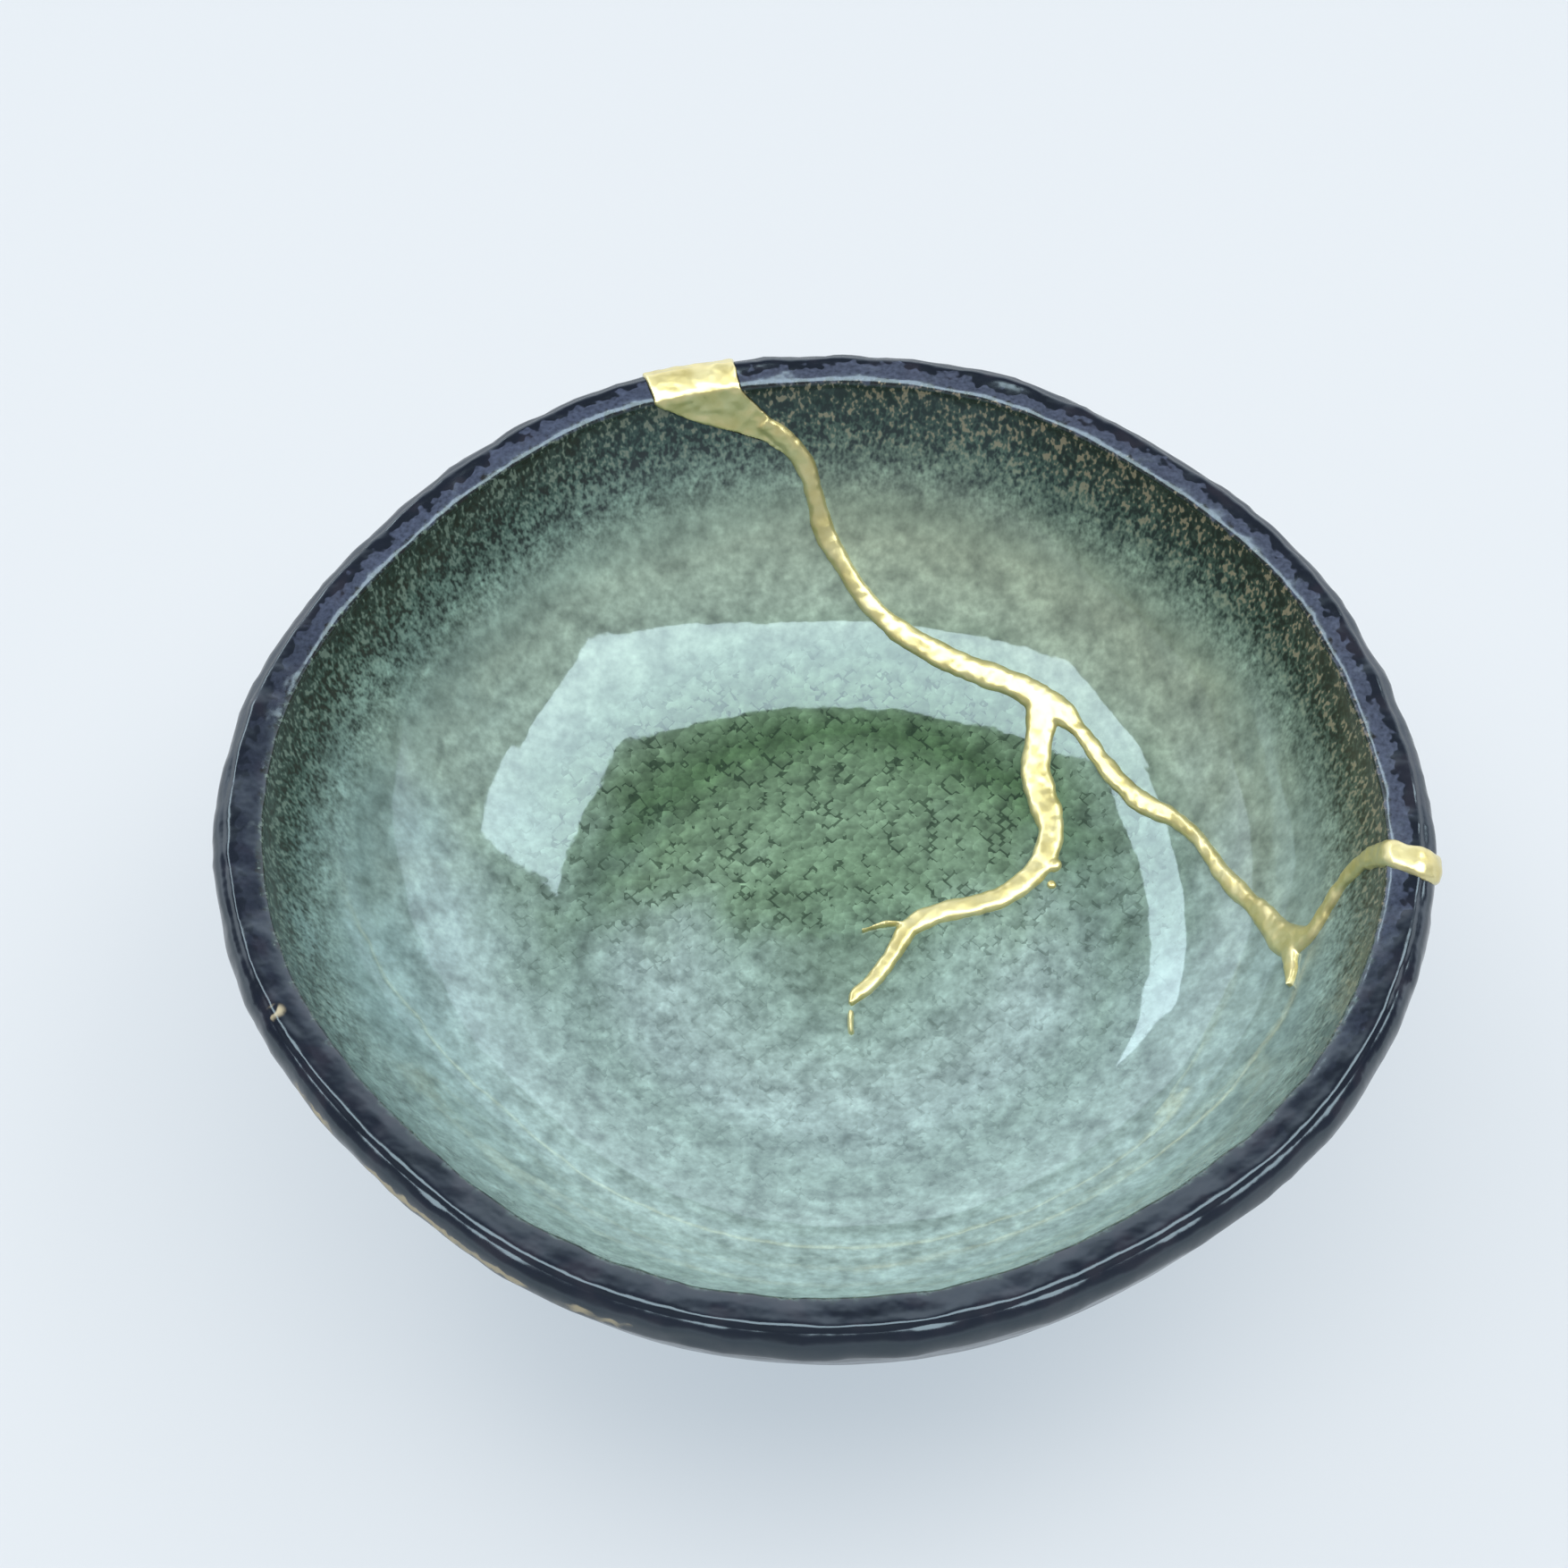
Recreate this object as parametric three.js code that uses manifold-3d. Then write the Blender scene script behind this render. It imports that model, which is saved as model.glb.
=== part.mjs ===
// A wide, shallow stoneware bowl that was broken once and mended with gold lacquer.
// Millimetres, +Z up. The foot stands on z = 0 and the origin is below the middle of the rim.
import * as THREE from "three";
import { mergeVertices } from "three/addons/utils/BufferGeometryUtils.js";
import Module from "manifold-3d";

const wasm = await Module();
wasm.setup();

// Bowl
const RIM_RADIUS = 65.8;
const WALL = 5.4;
const HOLLOW_DEPTH = 31;
const LIP_CROWN = 1;
const FLOOR_THICKNESS = 6;
const FLOOR_FLATNESS = 4;
const WALL_ROUNDNESS = 0.75;
const WELL_OFFSET = 2.5;

// The lip in section: distance out from the mouth as a share of the wall, and drop below the top
// of the rim as a share of the crown
const LIP_SECTION = [
  [0.07, 0.35],
  [0.25, 0],
  [0.55, 0],
  [0.82, 0.5],
  [0.97, 1.6],
  [1, 3.4],
];
const UPRIGHT_LIP = 4;

// Foot ring
const FOOT_HEIGHT = 6;
const FOOT_RADIUS = 27.5;
const FOOT_WIDTH = 4.5;
const FOOT_ROUNDING = 0.8;
const FOOT_FILLET = 1.6;
const FOOT_ROOT_DEPTH = 4.3;

// Places where the wet rim was pressed in (depth above zero) or left standing out (below zero)
const PRESSED_PLACES = [
  { bearing: 47, spread: 22, depth: 1.8 },
  { bearing: 13, spread: 14, depth: 1.0 },
  { bearing: 146, spread: 18, depth: 1.2 },
  { bearing: 226, spread: 18, depth: 1.3 },
  { bearing: 301, spread: 14, depth: 0.8 },
  { bearing: 70, spread: 16, depth: -0.5 },
  { bearing: 114, spread: 12, depth: -0.9 },
];

// Rise and fall of the rim around the bowl
const RIM_WAVES = [
  { count: 2, height: 0.5, bearing: 20 },
  { count: 3, height: 0.3, bearing: 75 },
];

// Gold mend
const CRACK_WIDTH = 1.6;
const MEND_CLEARANCE = 0.3;
const LINE_HEIGHT = 0.8;
const LINE_EDGE_HEIGHT = 0.45;
const LIP_LINE_HEIGHT = 1;
const PATCH_HEIGHT = 0.4;
const GROOVE_DEPTH = 3;
const OUTSIDE_NARROWING = 0.7;
const LINE_ROOT = 0.7;

// The cracks as drawn on the inner face: compass bearing in degrees, distance from the middle as a
// share of the mouth's radius (above 1 is over the lip) and width of the gold line
const MAIN_CRACK = [
  [97.5, 0.98, 1.6],
  [95, 0.963, 2.3],
  [93.2, 0.94, 2.3],
  [92.3, 0.91, 1.9],
  [91.5, 0.862, 2.5],
  [88.9, 0.806, 2],
  [84.8, 0.744, 2.3],
  [78.6, 0.699, 2.7],
  [67.6, 0.67, 3],
  [57, 0.673, 3.2],
  [50.5, 0.668, 4],
];
const RIGHT_CRACK = [
  [53, 0.67, 3.6],
  [49, 0.674, 3.2],
  [43.5, 0.664, 1.9],
  [37, 0.651, 2],
  [31, 0.648, 2.1],
  [24.9, 0.659, 2.4],
  [18.7, 0.693, 1.9],
  [12.9, 0.72, 1.6],
  [5, 0.744, 2],
  [-3.9, 0.803, 2.5],
  [-9.8, 0.85, 3.8],
  [-10.4, 0.89, 2.3],
  [-8.1, 0.919, 1.9],
  [-6.5, 0.948, 1.8],
  [-6.6, 0.978, 2],
  [-8.8, 1, 3],
  [-9.8, 1.04, 3.3],
  [-10, 1.12, 3.3],
];
const CENTRE_CRACK = [
  [51.5, 0.66, 4.2],
  [49.1, 0.615, 3.4],
  [45.2, 0.553, 3.5],
  [38.4, 0.513, 3.4],
  [30.5, 0.479, 3.1],
  [23.4, 0.422, 2.8],
  [18.3, 0.344, 2.6],
  [17.1, 0.267, 2.6],
  [18.2, 0.194, 2.5],
  [12, 0.13, 2.1],
  [-16, 0.1, 1.8],
  [-59, 0.108, 1.6],
  [-86, 0.145, 1.2],
];

// A drip of gold that ran down from the right crack
const DRIP = [
  [-10.2, 0.855, 3.4],
  [-13, 0.856, 2.6],
  [-15.2, 0.86, 1.6],
  [-17.2, 0.865, 0.7],
];

// The lost chip of lip beside the main crack: bearing and distance as for the cracks
const CHIP_CORNERS = [
  [109.8, 1.12],
  [109.8, 1],
  [106.4, 0.989],
  [102, 0.976],
  [97.4, 0.962],
  [92.6, 0.932],
  [94, 0.962],
  [97.2, 0.986],
  [99.6, 1],
  [100.6, 1.12],
];

// How finely round and long forms are divided
const SECTORS = 64;
const INNER_STEPS = 11;
const OUTER_STEPS = 12;
const CRACK_STEP = 3.8;
const DOME_PLANES = 3;
const ARC_SAMPLES = 240;
const MERGE_TOLERANCE = 1e-4;

// Sizes that follow from those above
const MOUTH_RADIUS = RIM_RADIUS - WALL;
const FLOOR_TOP = FOOT_HEIGHT + FLOOR_THICKNESS;
const EDGE_HEIGHT = FLOOR_TOP + HOLLOW_DEPTH;
const RIM_HEIGHT = EDGE_HEIGHT + LIP_CROWN;
const CUT_REACH = 2 * LINE_HEIGHT;
const CHIP_REACH = 2 * WALL;

// Inner form of the bowl: a nearly flat floor that turns up into a steep lip

function innerHeight(share) {
  return EDGE_HEIGHT - HOLLOW_DEPTH * (1 - share ** FLOOR_FLATNESS) ** WALL_ROUNDNESS;
}

function innerNormal(share) {
  if (share >= 1) {
    return new THREE.Vector2(1, 0);
  }
  const steepness = (1 - share ** FLOOR_FLATNESS) ** (WALL_ROUNDNESS - 1);
  const slope = (HOLLOW_DEPTH / MOUTH_RADIUS) * WALL_ROUNDNESS * FLOOR_FLATNESS
    * share ** (FLOOR_FLATNESS - 1) * steepness;
  return new THREE.Vector2(slope, -1).normalize();
}

function innerPoint(share) {
  return new THREE.Vector2(MOUTH_RADIUS * share, innerHeight(share));
}

// Distance from the middle of the floor, measured along the clay, for each share of the radius
const arcLengths = [0];
for (let step = 1; step <= ARC_SAMPLES; step += 1) {
  const length = innerPoint(step / ARC_SAMPLES).distanceTo(innerPoint((step - 1) / ARC_SAMPLES));
  arcLengths.push(arcLengths[step - 1] + length);
}
const WALL_ARC = arcLengths[ARC_SAMPLES];

function arcAt(share) {
  if (share >= 1) {
    return WALL_ARC + (share - 1) * MOUTH_RADIUS;
  }
  const place = share * ARC_SAMPLES;
  const step = Math.floor(place);
  return THREE.MathUtils.lerp(arcLengths[step], arcLengths[step + 1], place - step);
}

function shareAt(arc) {
  const step = Math.max(arcLengths.findIndex((length) => length > arc), 1);
  const within = (arc - arcLengths[step - 1]) / (arcLengths[step] - arcLengths[step - 1]);
  return (step - 1 + within) / ARC_SAMPLES;
}

// Hand-pressed unevenness: none at the foot, all of it at the rim

function pressedDepth(bearing) {
  let depth = 0;
  for (const place of PRESSED_PLACES) {
    const away = THREE.MathUtils.euclideanModulo(bearing - place.bearing + 180, 360) - 180;
    depth += place.depth * Math.exp(-((away / place.spread) ** 2));
  }
  return depth;
}

function rimLift(bearing) {
  let lift = 0;
  for (const wave of RIM_WAVES) {
    lift += wave.height * Math.cos(THREE.MathUtils.degToRad(wave.count * (bearing - wave.bearing)));
  }
  return lift;
}

function pressed(bearing, radius, height) {
  const share = THREE.MathUtils.smoothstep(height, FOOT_HEIGHT, RIM_HEIGHT);
  const angle = THREE.MathUtils.degToRad(bearing);
  const reach = radius * (1 - (share * pressedDepth(bearing)) / RIM_RADIUS);
  return new THREE.Vector3(
    reach * Math.cos(angle) + WELL_OFFSET * (1 - share),
    reach * Math.sin(angle),
    height + share * rimLift(bearing),
  );
}

// Whole bowl, its surface moved out by an even distance

function sectionPoints() {
  const points = [];
  for (let step = 0; step <= INNER_STEPS; step += 1) {
    points.push(innerPoint(Math.sin((step / INNER_STEPS) * (Math.PI / 2))));
  }
  for (const [out, drop] of LIP_SECTION) {
    points.push(new THREE.Vector2(MOUTH_RADIUS + out * WALL, RIM_HEIGHT - drop * LIP_CROWN));
  }
  const fillet = new THREE.Vector2(FOOT_RADIUS + FOOT_FILLET, 0);
  for (let step = 1; step <= OUTER_STEPS; step += 1) {
    const share = Math.cos((step / OUTER_STEPS) * (Math.PI / 2));
    const point = innerPoint(share).addScaledVector(innerNormal(share), WALL);
    if (point.x > fillet.x + FOOT_FILLET && point.y < RIM_HEIGHT - UPRIGHT_LIP) {
      points.push(point);
      fillet.y = point.y;
    }
  }
  const footInside = FOOT_RADIUS - FOOT_WIDTH;
  points.push(
    new THREE.Vector2(fillet.x, Math.min(fillet.y, FLOOR_TOP - FOOT_ROOT_DEPTH)),
    new THREE.Vector2(FOOT_RADIUS, FOOT_HEIGHT - FOOT_ROUNDING),
    new THREE.Vector2(FOOT_RADIUS, FOOT_ROUNDING),
    new THREE.Vector2(FOOT_RADIUS - FOOT_ROUNDING, 0),
    new THREE.Vector2(footInside + FOOT_ROUNDING, 0),
    new THREE.Vector2(footInside, FOOT_ROUNDING),
    new THREE.Vector2(footInside, FOOT_HEIGHT - FOOT_ROUNDING),
    new THREE.Vector2(footInside - FOOT_ROUNDING, FOOT_HEIGHT),
    new THREE.Vector2(0, FOOT_HEIGHT),
  );
  return points;
}

function movedOut(points, distance) {
  return points.map((point, index) => {
    const before = points[Math.max(index - 1, 0)];
    const after = points[Math.min(index + 1, points.length - 1)];
    const normal = new THREE.Vector2(before.y - after.y, after.x - before.x).normalize();
    const moved = point.clone().addScaledVector(normal, distance);
    moved.x = point.x === 0 ? 0 : moved.x;
    return moved;
  });
}

function solidOf(geometry) {
  const bare = geometry.clone();
  bare.deleteAttribute("normal");
  bare.deleteAttribute("uv");
  const merged = mergeVertices(bare, MERGE_TOLERANCE);
  const corners = merged.getIndex().array;
  const triangles = [];
  for (let start = 0; start < corners.length; start += 3) {
    const [first, second, third] = corners.slice(start, start + 3);
    if (first !== second && second !== third && third !== first) {
      triangles.push(first, second, third);
    }
  }
  return new wasm.Manifold(new wasm.Mesh({
    numProp: 3,
    vertProperties: merged.getAttribute("position").array,
    triVerts: new Uint32Array(triangles),
  }));
}

function bowlSolid(distance) {
  const section = movedOut(sectionPoints(), distance).reverse();
  const geometry = new THREE.LatheGeometry(section, SECTORS);
  geometry.rotateX(Math.PI / 2);
  const positions = geometry.getAttribute("position");
  const point = new THREE.Vector3();
  for (let index = 0; index < positions.count; index += 1) {
    point.fromBufferAttribute(positions, index);
    const bearing = THREE.MathUtils.radToDeg(Math.atan2(point.y, point.x));
    const moved = pressed(bearing, Math.hypot(point.x, point.y), point.z);
    positions.setXYZ(index, moved.x, moved.y, moved.z);
  }
  return solidOf(geometry);
}

// Flat drawings of the cracks, laid on the inner face and carried through the wall

function placeOf(bearing, share) {
  const arc = arcAt(share);
  const angle = THREE.MathUtils.degToRad(bearing);
  return new THREE.Vector2(arc * Math.cos(angle), arc * Math.sin(angle));
}

function wallPoint(flat, depth) {
  const arc = flat.length();
  const bearing = THREE.MathUtils.radToDeg(flat.angle());
  const overLip = arc >= WALL_ARC;
  const share = overLip ? 1 : shareAt(arc);
  const point = innerPoint(share);
  if (overLip) {
    point.y += arc - WALL_ARC;
  }
  point.addScaledVector(innerNormal(share), depth);
  return pressed(bearing, point.x, point.y);
}

function sideStep(place, along, distance) {
  const outward = place.clone().normalize();
  const around = new THREE.Vector2(-outward.y, outward.x);
  const side = new THREE.Vector2(-along.y, along.x);
  const arc = place.length();
  const radius = arc >= WALL_ARC ? MOUTH_RADIUS : MOUTH_RADIUS * shareAt(arc);
  return place.clone()
    .addScaledVector(outward, side.dot(outward) * distance)
    .addScaledVector(around, (side.dot(around) * distance * arc) / radius);
}

function crackCurve(waypoints) {
  return new THREE.CatmullRomCurve3(waypoints.map(([bearing, share, width]) => {
    const place = placeOf(bearing, share);
    return new THREE.Vector3(place.x, place.y, width);
  }));
}

// A box bent along a crack: its x runs across, its y along, and its z out of the inner face.
// planes is how many strips it has across; depthAt gives the depth into the wall at its two faces.
function bentBlock(waypoints, planes, widthAt, depthAt) {
  const curve = crackCurve(waypoints);
  const steps = Math.ceil(curve.getLength() / CRACK_STEP);
  const geometry = new THREE.BoxGeometry(2, 1, 1, planes, steps, 1);
  geometry.translate(0, 0.5, 0.5);
  const positions = geometry.getAttribute("position");
  for (let index = 0; index < positions.count; index += 1) {
    const across = positions.getX(index);
    const point = curve.getPointAt(positions.getY(index));
    const tangent = curve.getTangentAt(positions.getY(index));
    const along = new THREE.Vector2(tangent.x, tangent.y).normalize();
    const place = new THREE.Vector2(point.x, point.y);
    const beside = sideStep(place, along, (-across * widthAt(point.z)) / 2);
    const moved = wallPoint(beside, depthAt(across, positions.getZ(index)));
    positions.setXYZ(index, moved.x, moved.y, moved.z);
  }
  return solidOf(geometry);
}

function grown(corners, distance) {
  return corners.map((corner, index) => {
    const before = corners[(index + corners.length - 1) % corners.length];
    const after = corners[(index + 1) % corners.length];
    const first = new THREE.Vector2(corner.y - before.y, before.x - corner.x).normalize();
    const second = new THREE.Vector2(after.y - corner.y, corner.x - after.x).normalize();
    const mitre = first.clone().add(second).multiplyScalar(distance / (1 + first.dot(second)));
    return corner.clone().add(mitre);
  });
}

function chipBlock(growth) {
  const corners = CHIP_CORNERS.map(([bearing, share]) => placeOf(bearing, share));
  const geometry = new THREE.ExtrudeGeometry(new THREE.Shape(grown(corners, growth)), {
    depth: CUT_REACH + CHIP_REACH,
    steps: 1,
    bevelEnabled: false,
  });
  const positions = geometry.getAttribute("position");
  for (let index = 0; index < positions.count; index += 1) {
    const flat = new THREE.Vector2(positions.getX(index), positions.getY(index));
    const moved = wallPoint(flat, CHIP_REACH - positions.getZ(index));
    positions.setXYZ(index, moved.x, moved.y, moved.z);
  }
  return solidOf(geometry);
}

// Cracks of an even width: cut right through the wall, but only grooved where the floor is thick

function crackBlocks(width, grooveDepth) {
  const even = () => width;
  const through = (across, up) => WALL + CUT_REACH - up * (WALL + 2 * CUT_REACH);
  const grooved = (across, up) => grooveDepth - up * (grooveDepth + CUT_REACH);
  return bentBlock(MAIN_CRACK, 1, even, through)
    .add(bentBlock(RIGHT_CRACK, 1, even, through))
    .add(bentBlock(CENTRE_CRACK, 1, even, grooved));
}

// Gold lines: domed on the inner face, narrower and flat outside

function goldLines() {
  const full = (width) => width;
  const narrowed = (width) => width * OUTSIDE_NARROWING;
  const innerRoot = LINE_ROOT * WALL;
  const outerRoot = (1 - LINE_ROOT) * WALL;
  const domed = (across, up) => {
    const height = THREE.MathUtils.lerp(LINE_HEIGHT, LINE_EDGE_HEIGHT, across ** 4);
    return innerRoot - up * (innerRoot + height);
  };
  const flat = (across, up) => WALL + LINE_HEIGHT - up * (WALL + LINE_HEIGHT - outerRoot);
  return bentBlock(MAIN_CRACK, DOME_PLANES, full, domed)
    .add(bentBlock(RIGHT_CRACK, DOME_PLANES, full, domed))
    .add(bentBlock(CENTRE_CRACK, DOME_PLANES, full, domed))
    .add(bentBlock(DRIP, DOME_PLANES, full, domed))
    .add(bentBlock(MAIN_CRACK, 1, narrowed, flat))
    .add(bentBlock(RIGHT_CRACK, 1, narrowed, flat));
}

// The three pieces: the two largest pieces of clay that the cracks leave, and the gold between them

const [bodySolid, shardSolid] = bowlSolid(0)
  .subtract(crackBlocks(CRACK_WIDTH, GROOVE_DEPTH).add(chipBlock(0)))
  .decompose()
  .sort((first, second) => second.volume() - first.volume());

const lineSolid = goldLines()
  .intersect(bowlSolid(LIP_LINE_HEIGHT))
  .subtract(bowlSolid(MEND_CLEARANCE));
const rootHeight = (LINE_HEIGHT + MEND_CLEARANCE) / 2;
const webWidth = CRACK_WIDTH - 2 * MEND_CLEARANCE;
const webSolid = crackBlocks(webWidth, GROOVE_DEPTH - MEND_CLEARANCE)
  .intersect(bowlSolid(rootHeight));
const patchSolid = chipBlock(-MEND_CLEARANCE).intersect(bowlSolid(PATCH_HEIGHT));
const seamSolid = lineSolid.add(webSolid).add(patchSolid);

function namedMesh(name, solid, color, roughness, metalness) {
  const mesh = solid.getMesh();
  const geometry = new THREE.BufferGeometry();
  geometry.setAttribute("position", new THREE.BufferAttribute(mesh.vertProperties, mesh.numProp));
  geometry.setIndex(new THREE.BufferAttribute(mesh.triVerts, 1));
  geometry.computeVertexNormals();
  const material = new THREE.MeshStandardMaterial({ color, roughness, metalness });
  const piece = new THREE.Mesh(geometry, material);
  piece.name = name;
  return piece;
}

const bowl = new THREE.Group();
bowl.name = "mended_bowl";
bowl.add(namedMesh("bowl_body", bodySolid, 0x7f9c8c, 0.2, 0));
bowl.add(namedMesh("rim_shard", shardSolid, 0x8fa79a, 0.2, 0));
bowl.add(namedMesh("gold_seam", seamSolid, 0xd0bb62, 0.3, 0.9));

export default bowl;
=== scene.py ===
# %% [markdown]
# # A stoneware bowl mended with gold
#
# A potter threw this wide, shallow bowl on a wheel, pressed its wet rim a little out of round and
# glazed it: celadon green inside, nearly black over the lip and outside. It broke once. One large
# shard and a small chip of the lip came away, and the cracks were filled with lacquer and gold.
#
# The solids that carry the bowl's sizes are loaded first. Nothing below moves them: every piece
# made here is drawn in the same frame, in metres, and stands in for one of them.

# %% The frame
import math

import bpy
import numpy as np
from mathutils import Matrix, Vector, kdtree, noise


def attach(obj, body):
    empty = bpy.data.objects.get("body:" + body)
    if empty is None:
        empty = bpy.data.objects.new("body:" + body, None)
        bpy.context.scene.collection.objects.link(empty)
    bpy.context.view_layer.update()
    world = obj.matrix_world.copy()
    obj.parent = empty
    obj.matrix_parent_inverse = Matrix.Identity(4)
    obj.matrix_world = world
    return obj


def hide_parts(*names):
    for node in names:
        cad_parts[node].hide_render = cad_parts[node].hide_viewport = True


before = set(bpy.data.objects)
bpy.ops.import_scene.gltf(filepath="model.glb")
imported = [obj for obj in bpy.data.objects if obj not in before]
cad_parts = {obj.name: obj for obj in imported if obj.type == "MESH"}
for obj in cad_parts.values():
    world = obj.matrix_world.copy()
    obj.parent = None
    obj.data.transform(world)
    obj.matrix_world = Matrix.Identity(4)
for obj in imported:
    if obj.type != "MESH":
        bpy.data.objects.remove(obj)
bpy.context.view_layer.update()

# %% [markdown]
# ## The sizes
#
# The bowl is drawn round, as it stood on the wheel, and pressed out of round at the very end. So
# its whole shape is one profile, from the middle of the floor over the lip and down to the foot.
# The same few numbers give the profile that give the solids.

# %% The sizes
MM = 0.001
RIM_RADIUS = 65.8 * MM
WALL = 5.4 * MM
HOLLOW_DEPTH = 31 * MM
LIP_CROWN = 1 * MM
FLOOR_THICKNESS = 6 * MM
FLOOR_FLATNESS = 4
WALL_ROUNDNESS = 0.75
WELL_OFFSET = 2.5 * MM
LIP_SECTION = [
    (0.07, 0.68), (0.25, 0.36), (0.45, 0.14), (0.6, 0), (0.66, 0.04), (0.72, 0.32), (0.8, 0.46),
    (0.94, 1.3), (1, 3.4),
]
UPRIGHT_LIP = 4 * MM
FOOT_HEIGHT = 6 * MM
FOOT_RADIUS = 27.5 * MM
FOOT_WIDTH = 4.5 * MM
FOOT_ROUNDING = 0.8 * MM
FOOT_FILLET = 1.6 * MM
FOOT_ROOT_DEPTH = 4.3 * MM
MOUTH_RADIUS = RIM_RADIUS - WALL
FLOOR_TOP = FOOT_HEIGHT + FLOOR_THICKNESS
EDGE_HEIGHT = FLOOR_TOP + HOLLOW_DEPTH
RIM_HEIGHT = EDGE_HEIGHT + LIP_CROWN
print("across:", round(2 * RIM_RADIUS / MM, 1), "mm, high:", round(RIM_HEIGHT / MM, 1), "mm")

# %% [markdown]
# ## The profile
#
# The inside is nearly flat in the middle and turns up into a steep wall. Every point has a share:
# its distance from the middle, 1 at the mouth. The outside is the same curve a wall's thickness
# away, and a small foot ring carries it. The points are set wide apart where the form is simple,
# and a smooth curve through them then gives one point every quarter of a millimetre.

# %% The inside and the outside
STEP = 0.25 * MM
CURVE_PARTS = 24
INSIDE_POINTS = 40
OUTSIDE_POINTS = 60


def inner_point(share):
    height = EDGE_HEIGHT - HOLLOW_DEPTH * (1 - share ** FLOOR_FLATNESS) ** WALL_ROUNDNESS
    return Vector((MOUTH_RADIUS * share, height))


def outer_point(share):
    steepness = (1 - share ** FLOOR_FLATNESS) ** (WALL_ROUNDNESS - 1)
    slope = HOLLOW_DEPTH / MOUTH_RADIUS * WALL_ROUNDNESS * FLOOR_FLATNESS
    slope *= share ** (FLOOR_FLATNESS - 1) * steepness
    return inner_point(share) + Vector((slope, -1)).normalized() * WALL


def smooth_path(points, step):
    """Points every step along a smooth curve (centripetal Catmull-Rom) through the points."""
    points = np.array(points, float)
    points = np.vstack([2 * points[0] - points[1], points, 2 * points[-1] - points[-2]])
    gaps = np.linalg.norm(np.diff(points, axis=0), axis=1) ** 0.5
    fine = [points[1]]
    for place in range(1, len(points) - 2):
        p0, p1, p2, p3 = points[place - 1:place + 3]
        t0, t1 = 0, gaps[place - 1]
        t2, t3 = t1 + gaps[place], t1 + gaps[place] + gaps[place + 1]
        for t in np.linspace(t1, t2, CURVE_PARTS + 1)[1:]:
            a1 = (t1 - t) / (t1 - t0) * p0 + (t - t0) / (t1 - t0) * p1
            a2 = (t2 - t) / (t2 - t1) * p1 + (t - t1) / (t2 - t1) * p2
            a3 = (t3 - t) / (t3 - t2) * p2 + (t - t2) / (t3 - t2) * p3
            b1 = (t2 - t) / (t2 - t0) * a1 + (t - t0) / (t2 - t0) * a2
            b2 = (t3 - t) / (t3 - t1) * a2 + (t - t1) / (t3 - t1) * a3
            fine.append((t2 - t) / (t2 - t1) * b1 + (t - t1) / (t2 - t1) * b2)
    fine = np.array(fine)
    along = np.concatenate([[0], np.cumsum(np.linalg.norm(np.diff(fine, axis=0), axis=1))])
    evenly = np.linspace(0, along[-1], max(int(along[-1] / step), 2) + 1)
    return np.stack([np.interp(evenly, along, column) for column in fine.T], axis=1)


print("heights of floor and mouth:", [round(inner_point(share).y / MM, 1) for share in (0, 1)])

# %% The whole profile


def bowl_profile():
    turns = np.linspace(0, 1, INSIDE_POINTS)
    inside = [inner_point(math.sin(turn * math.pi / 2)) for turn in turns]
    lip = [(MOUTH_RADIUS + out * WALL, RIM_HEIGHT - drop * LIP_CROWN) for out, drop in LIP_SECTION]
    turns = np.linspace(0, 1, OUTSIDE_POINTS)[1:-1]
    outside = [outer_point(math.cos(turn * math.pi / 2)) for turn in turns]
    fillet = FOOT_RADIUS + FOOT_FILLET
    outside = [p for p in outside if p.x > fillet + FOOT_FILLET and p.y < RIM_HEIGHT - UPRIGHT_LIP]
    foot_inside = FOOT_RADIUS - FOOT_WIDTH
    foot = [
        (fillet, min(outside[-1].y, FLOOR_TOP - FOOT_ROOT_DEPTH)),
        (FOOT_RADIUS, FOOT_HEIGHT - FOOT_ROUNDING),
        (FOOT_RADIUS, FOOT_ROUNDING),
        (FOOT_RADIUS - FOOT_ROUNDING, 0),
        (foot_inside + FOOT_ROUNDING, 0),
        (foot_inside, FOOT_ROUNDING),
        (foot_inside, FOOT_HEIGHT - FOOT_ROUNDING),
        (foot_inside - FOOT_ROUNDING, FOOT_HEIGHT),
        (foot_inside / 2, FOOT_HEIGHT),
        (0, FOOT_HEIGHT),
    ]
    path = smooth_path([tuple(point) for point in inside + lip + outside + foot], STEP)
    return np.maximum(path, 0)


PROFILE = bowl_profile()
RUNS = np.concatenate([[0], np.cumsum(np.linalg.norm(np.diff(PROFILE, axis=0), axis=1))])
TANGENTS = np.gradient(PROFILE, RUNS, axis=0)
OUTWARD = np.stack([-TANGENTS[:, 1], TANGENTS[:, 0]], axis=1)
OUTWARD /= np.linalg.norm(OUTWARD, axis=1)[:, None]


def run_at(point):
    """How far along the profile, from the middle of the floor, the nearest point lies."""
    return RUNS[np.argmin(np.linalg.norm(PROFILE - np.array(point), axis=1))]


LIP_RUN = run_at((MOUTH_RADIUS, EDGE_HEIGHT))
EDGE_RUN = run_at((RIM_RADIUS, RIM_HEIGHT - LIP_SECTION[-1][1] * LIP_CROWN))
FOOT_RUN = run_at((FOOT_RADIUS + FOOT_FILLET, FLOOR_TOP - FOOT_ROOT_DEPTH))
print(len(PROFILE), "points,", round(RUNS[-1] / MM), "mm long, mouth at", round(LIP_RUN / MM, 1))

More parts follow.
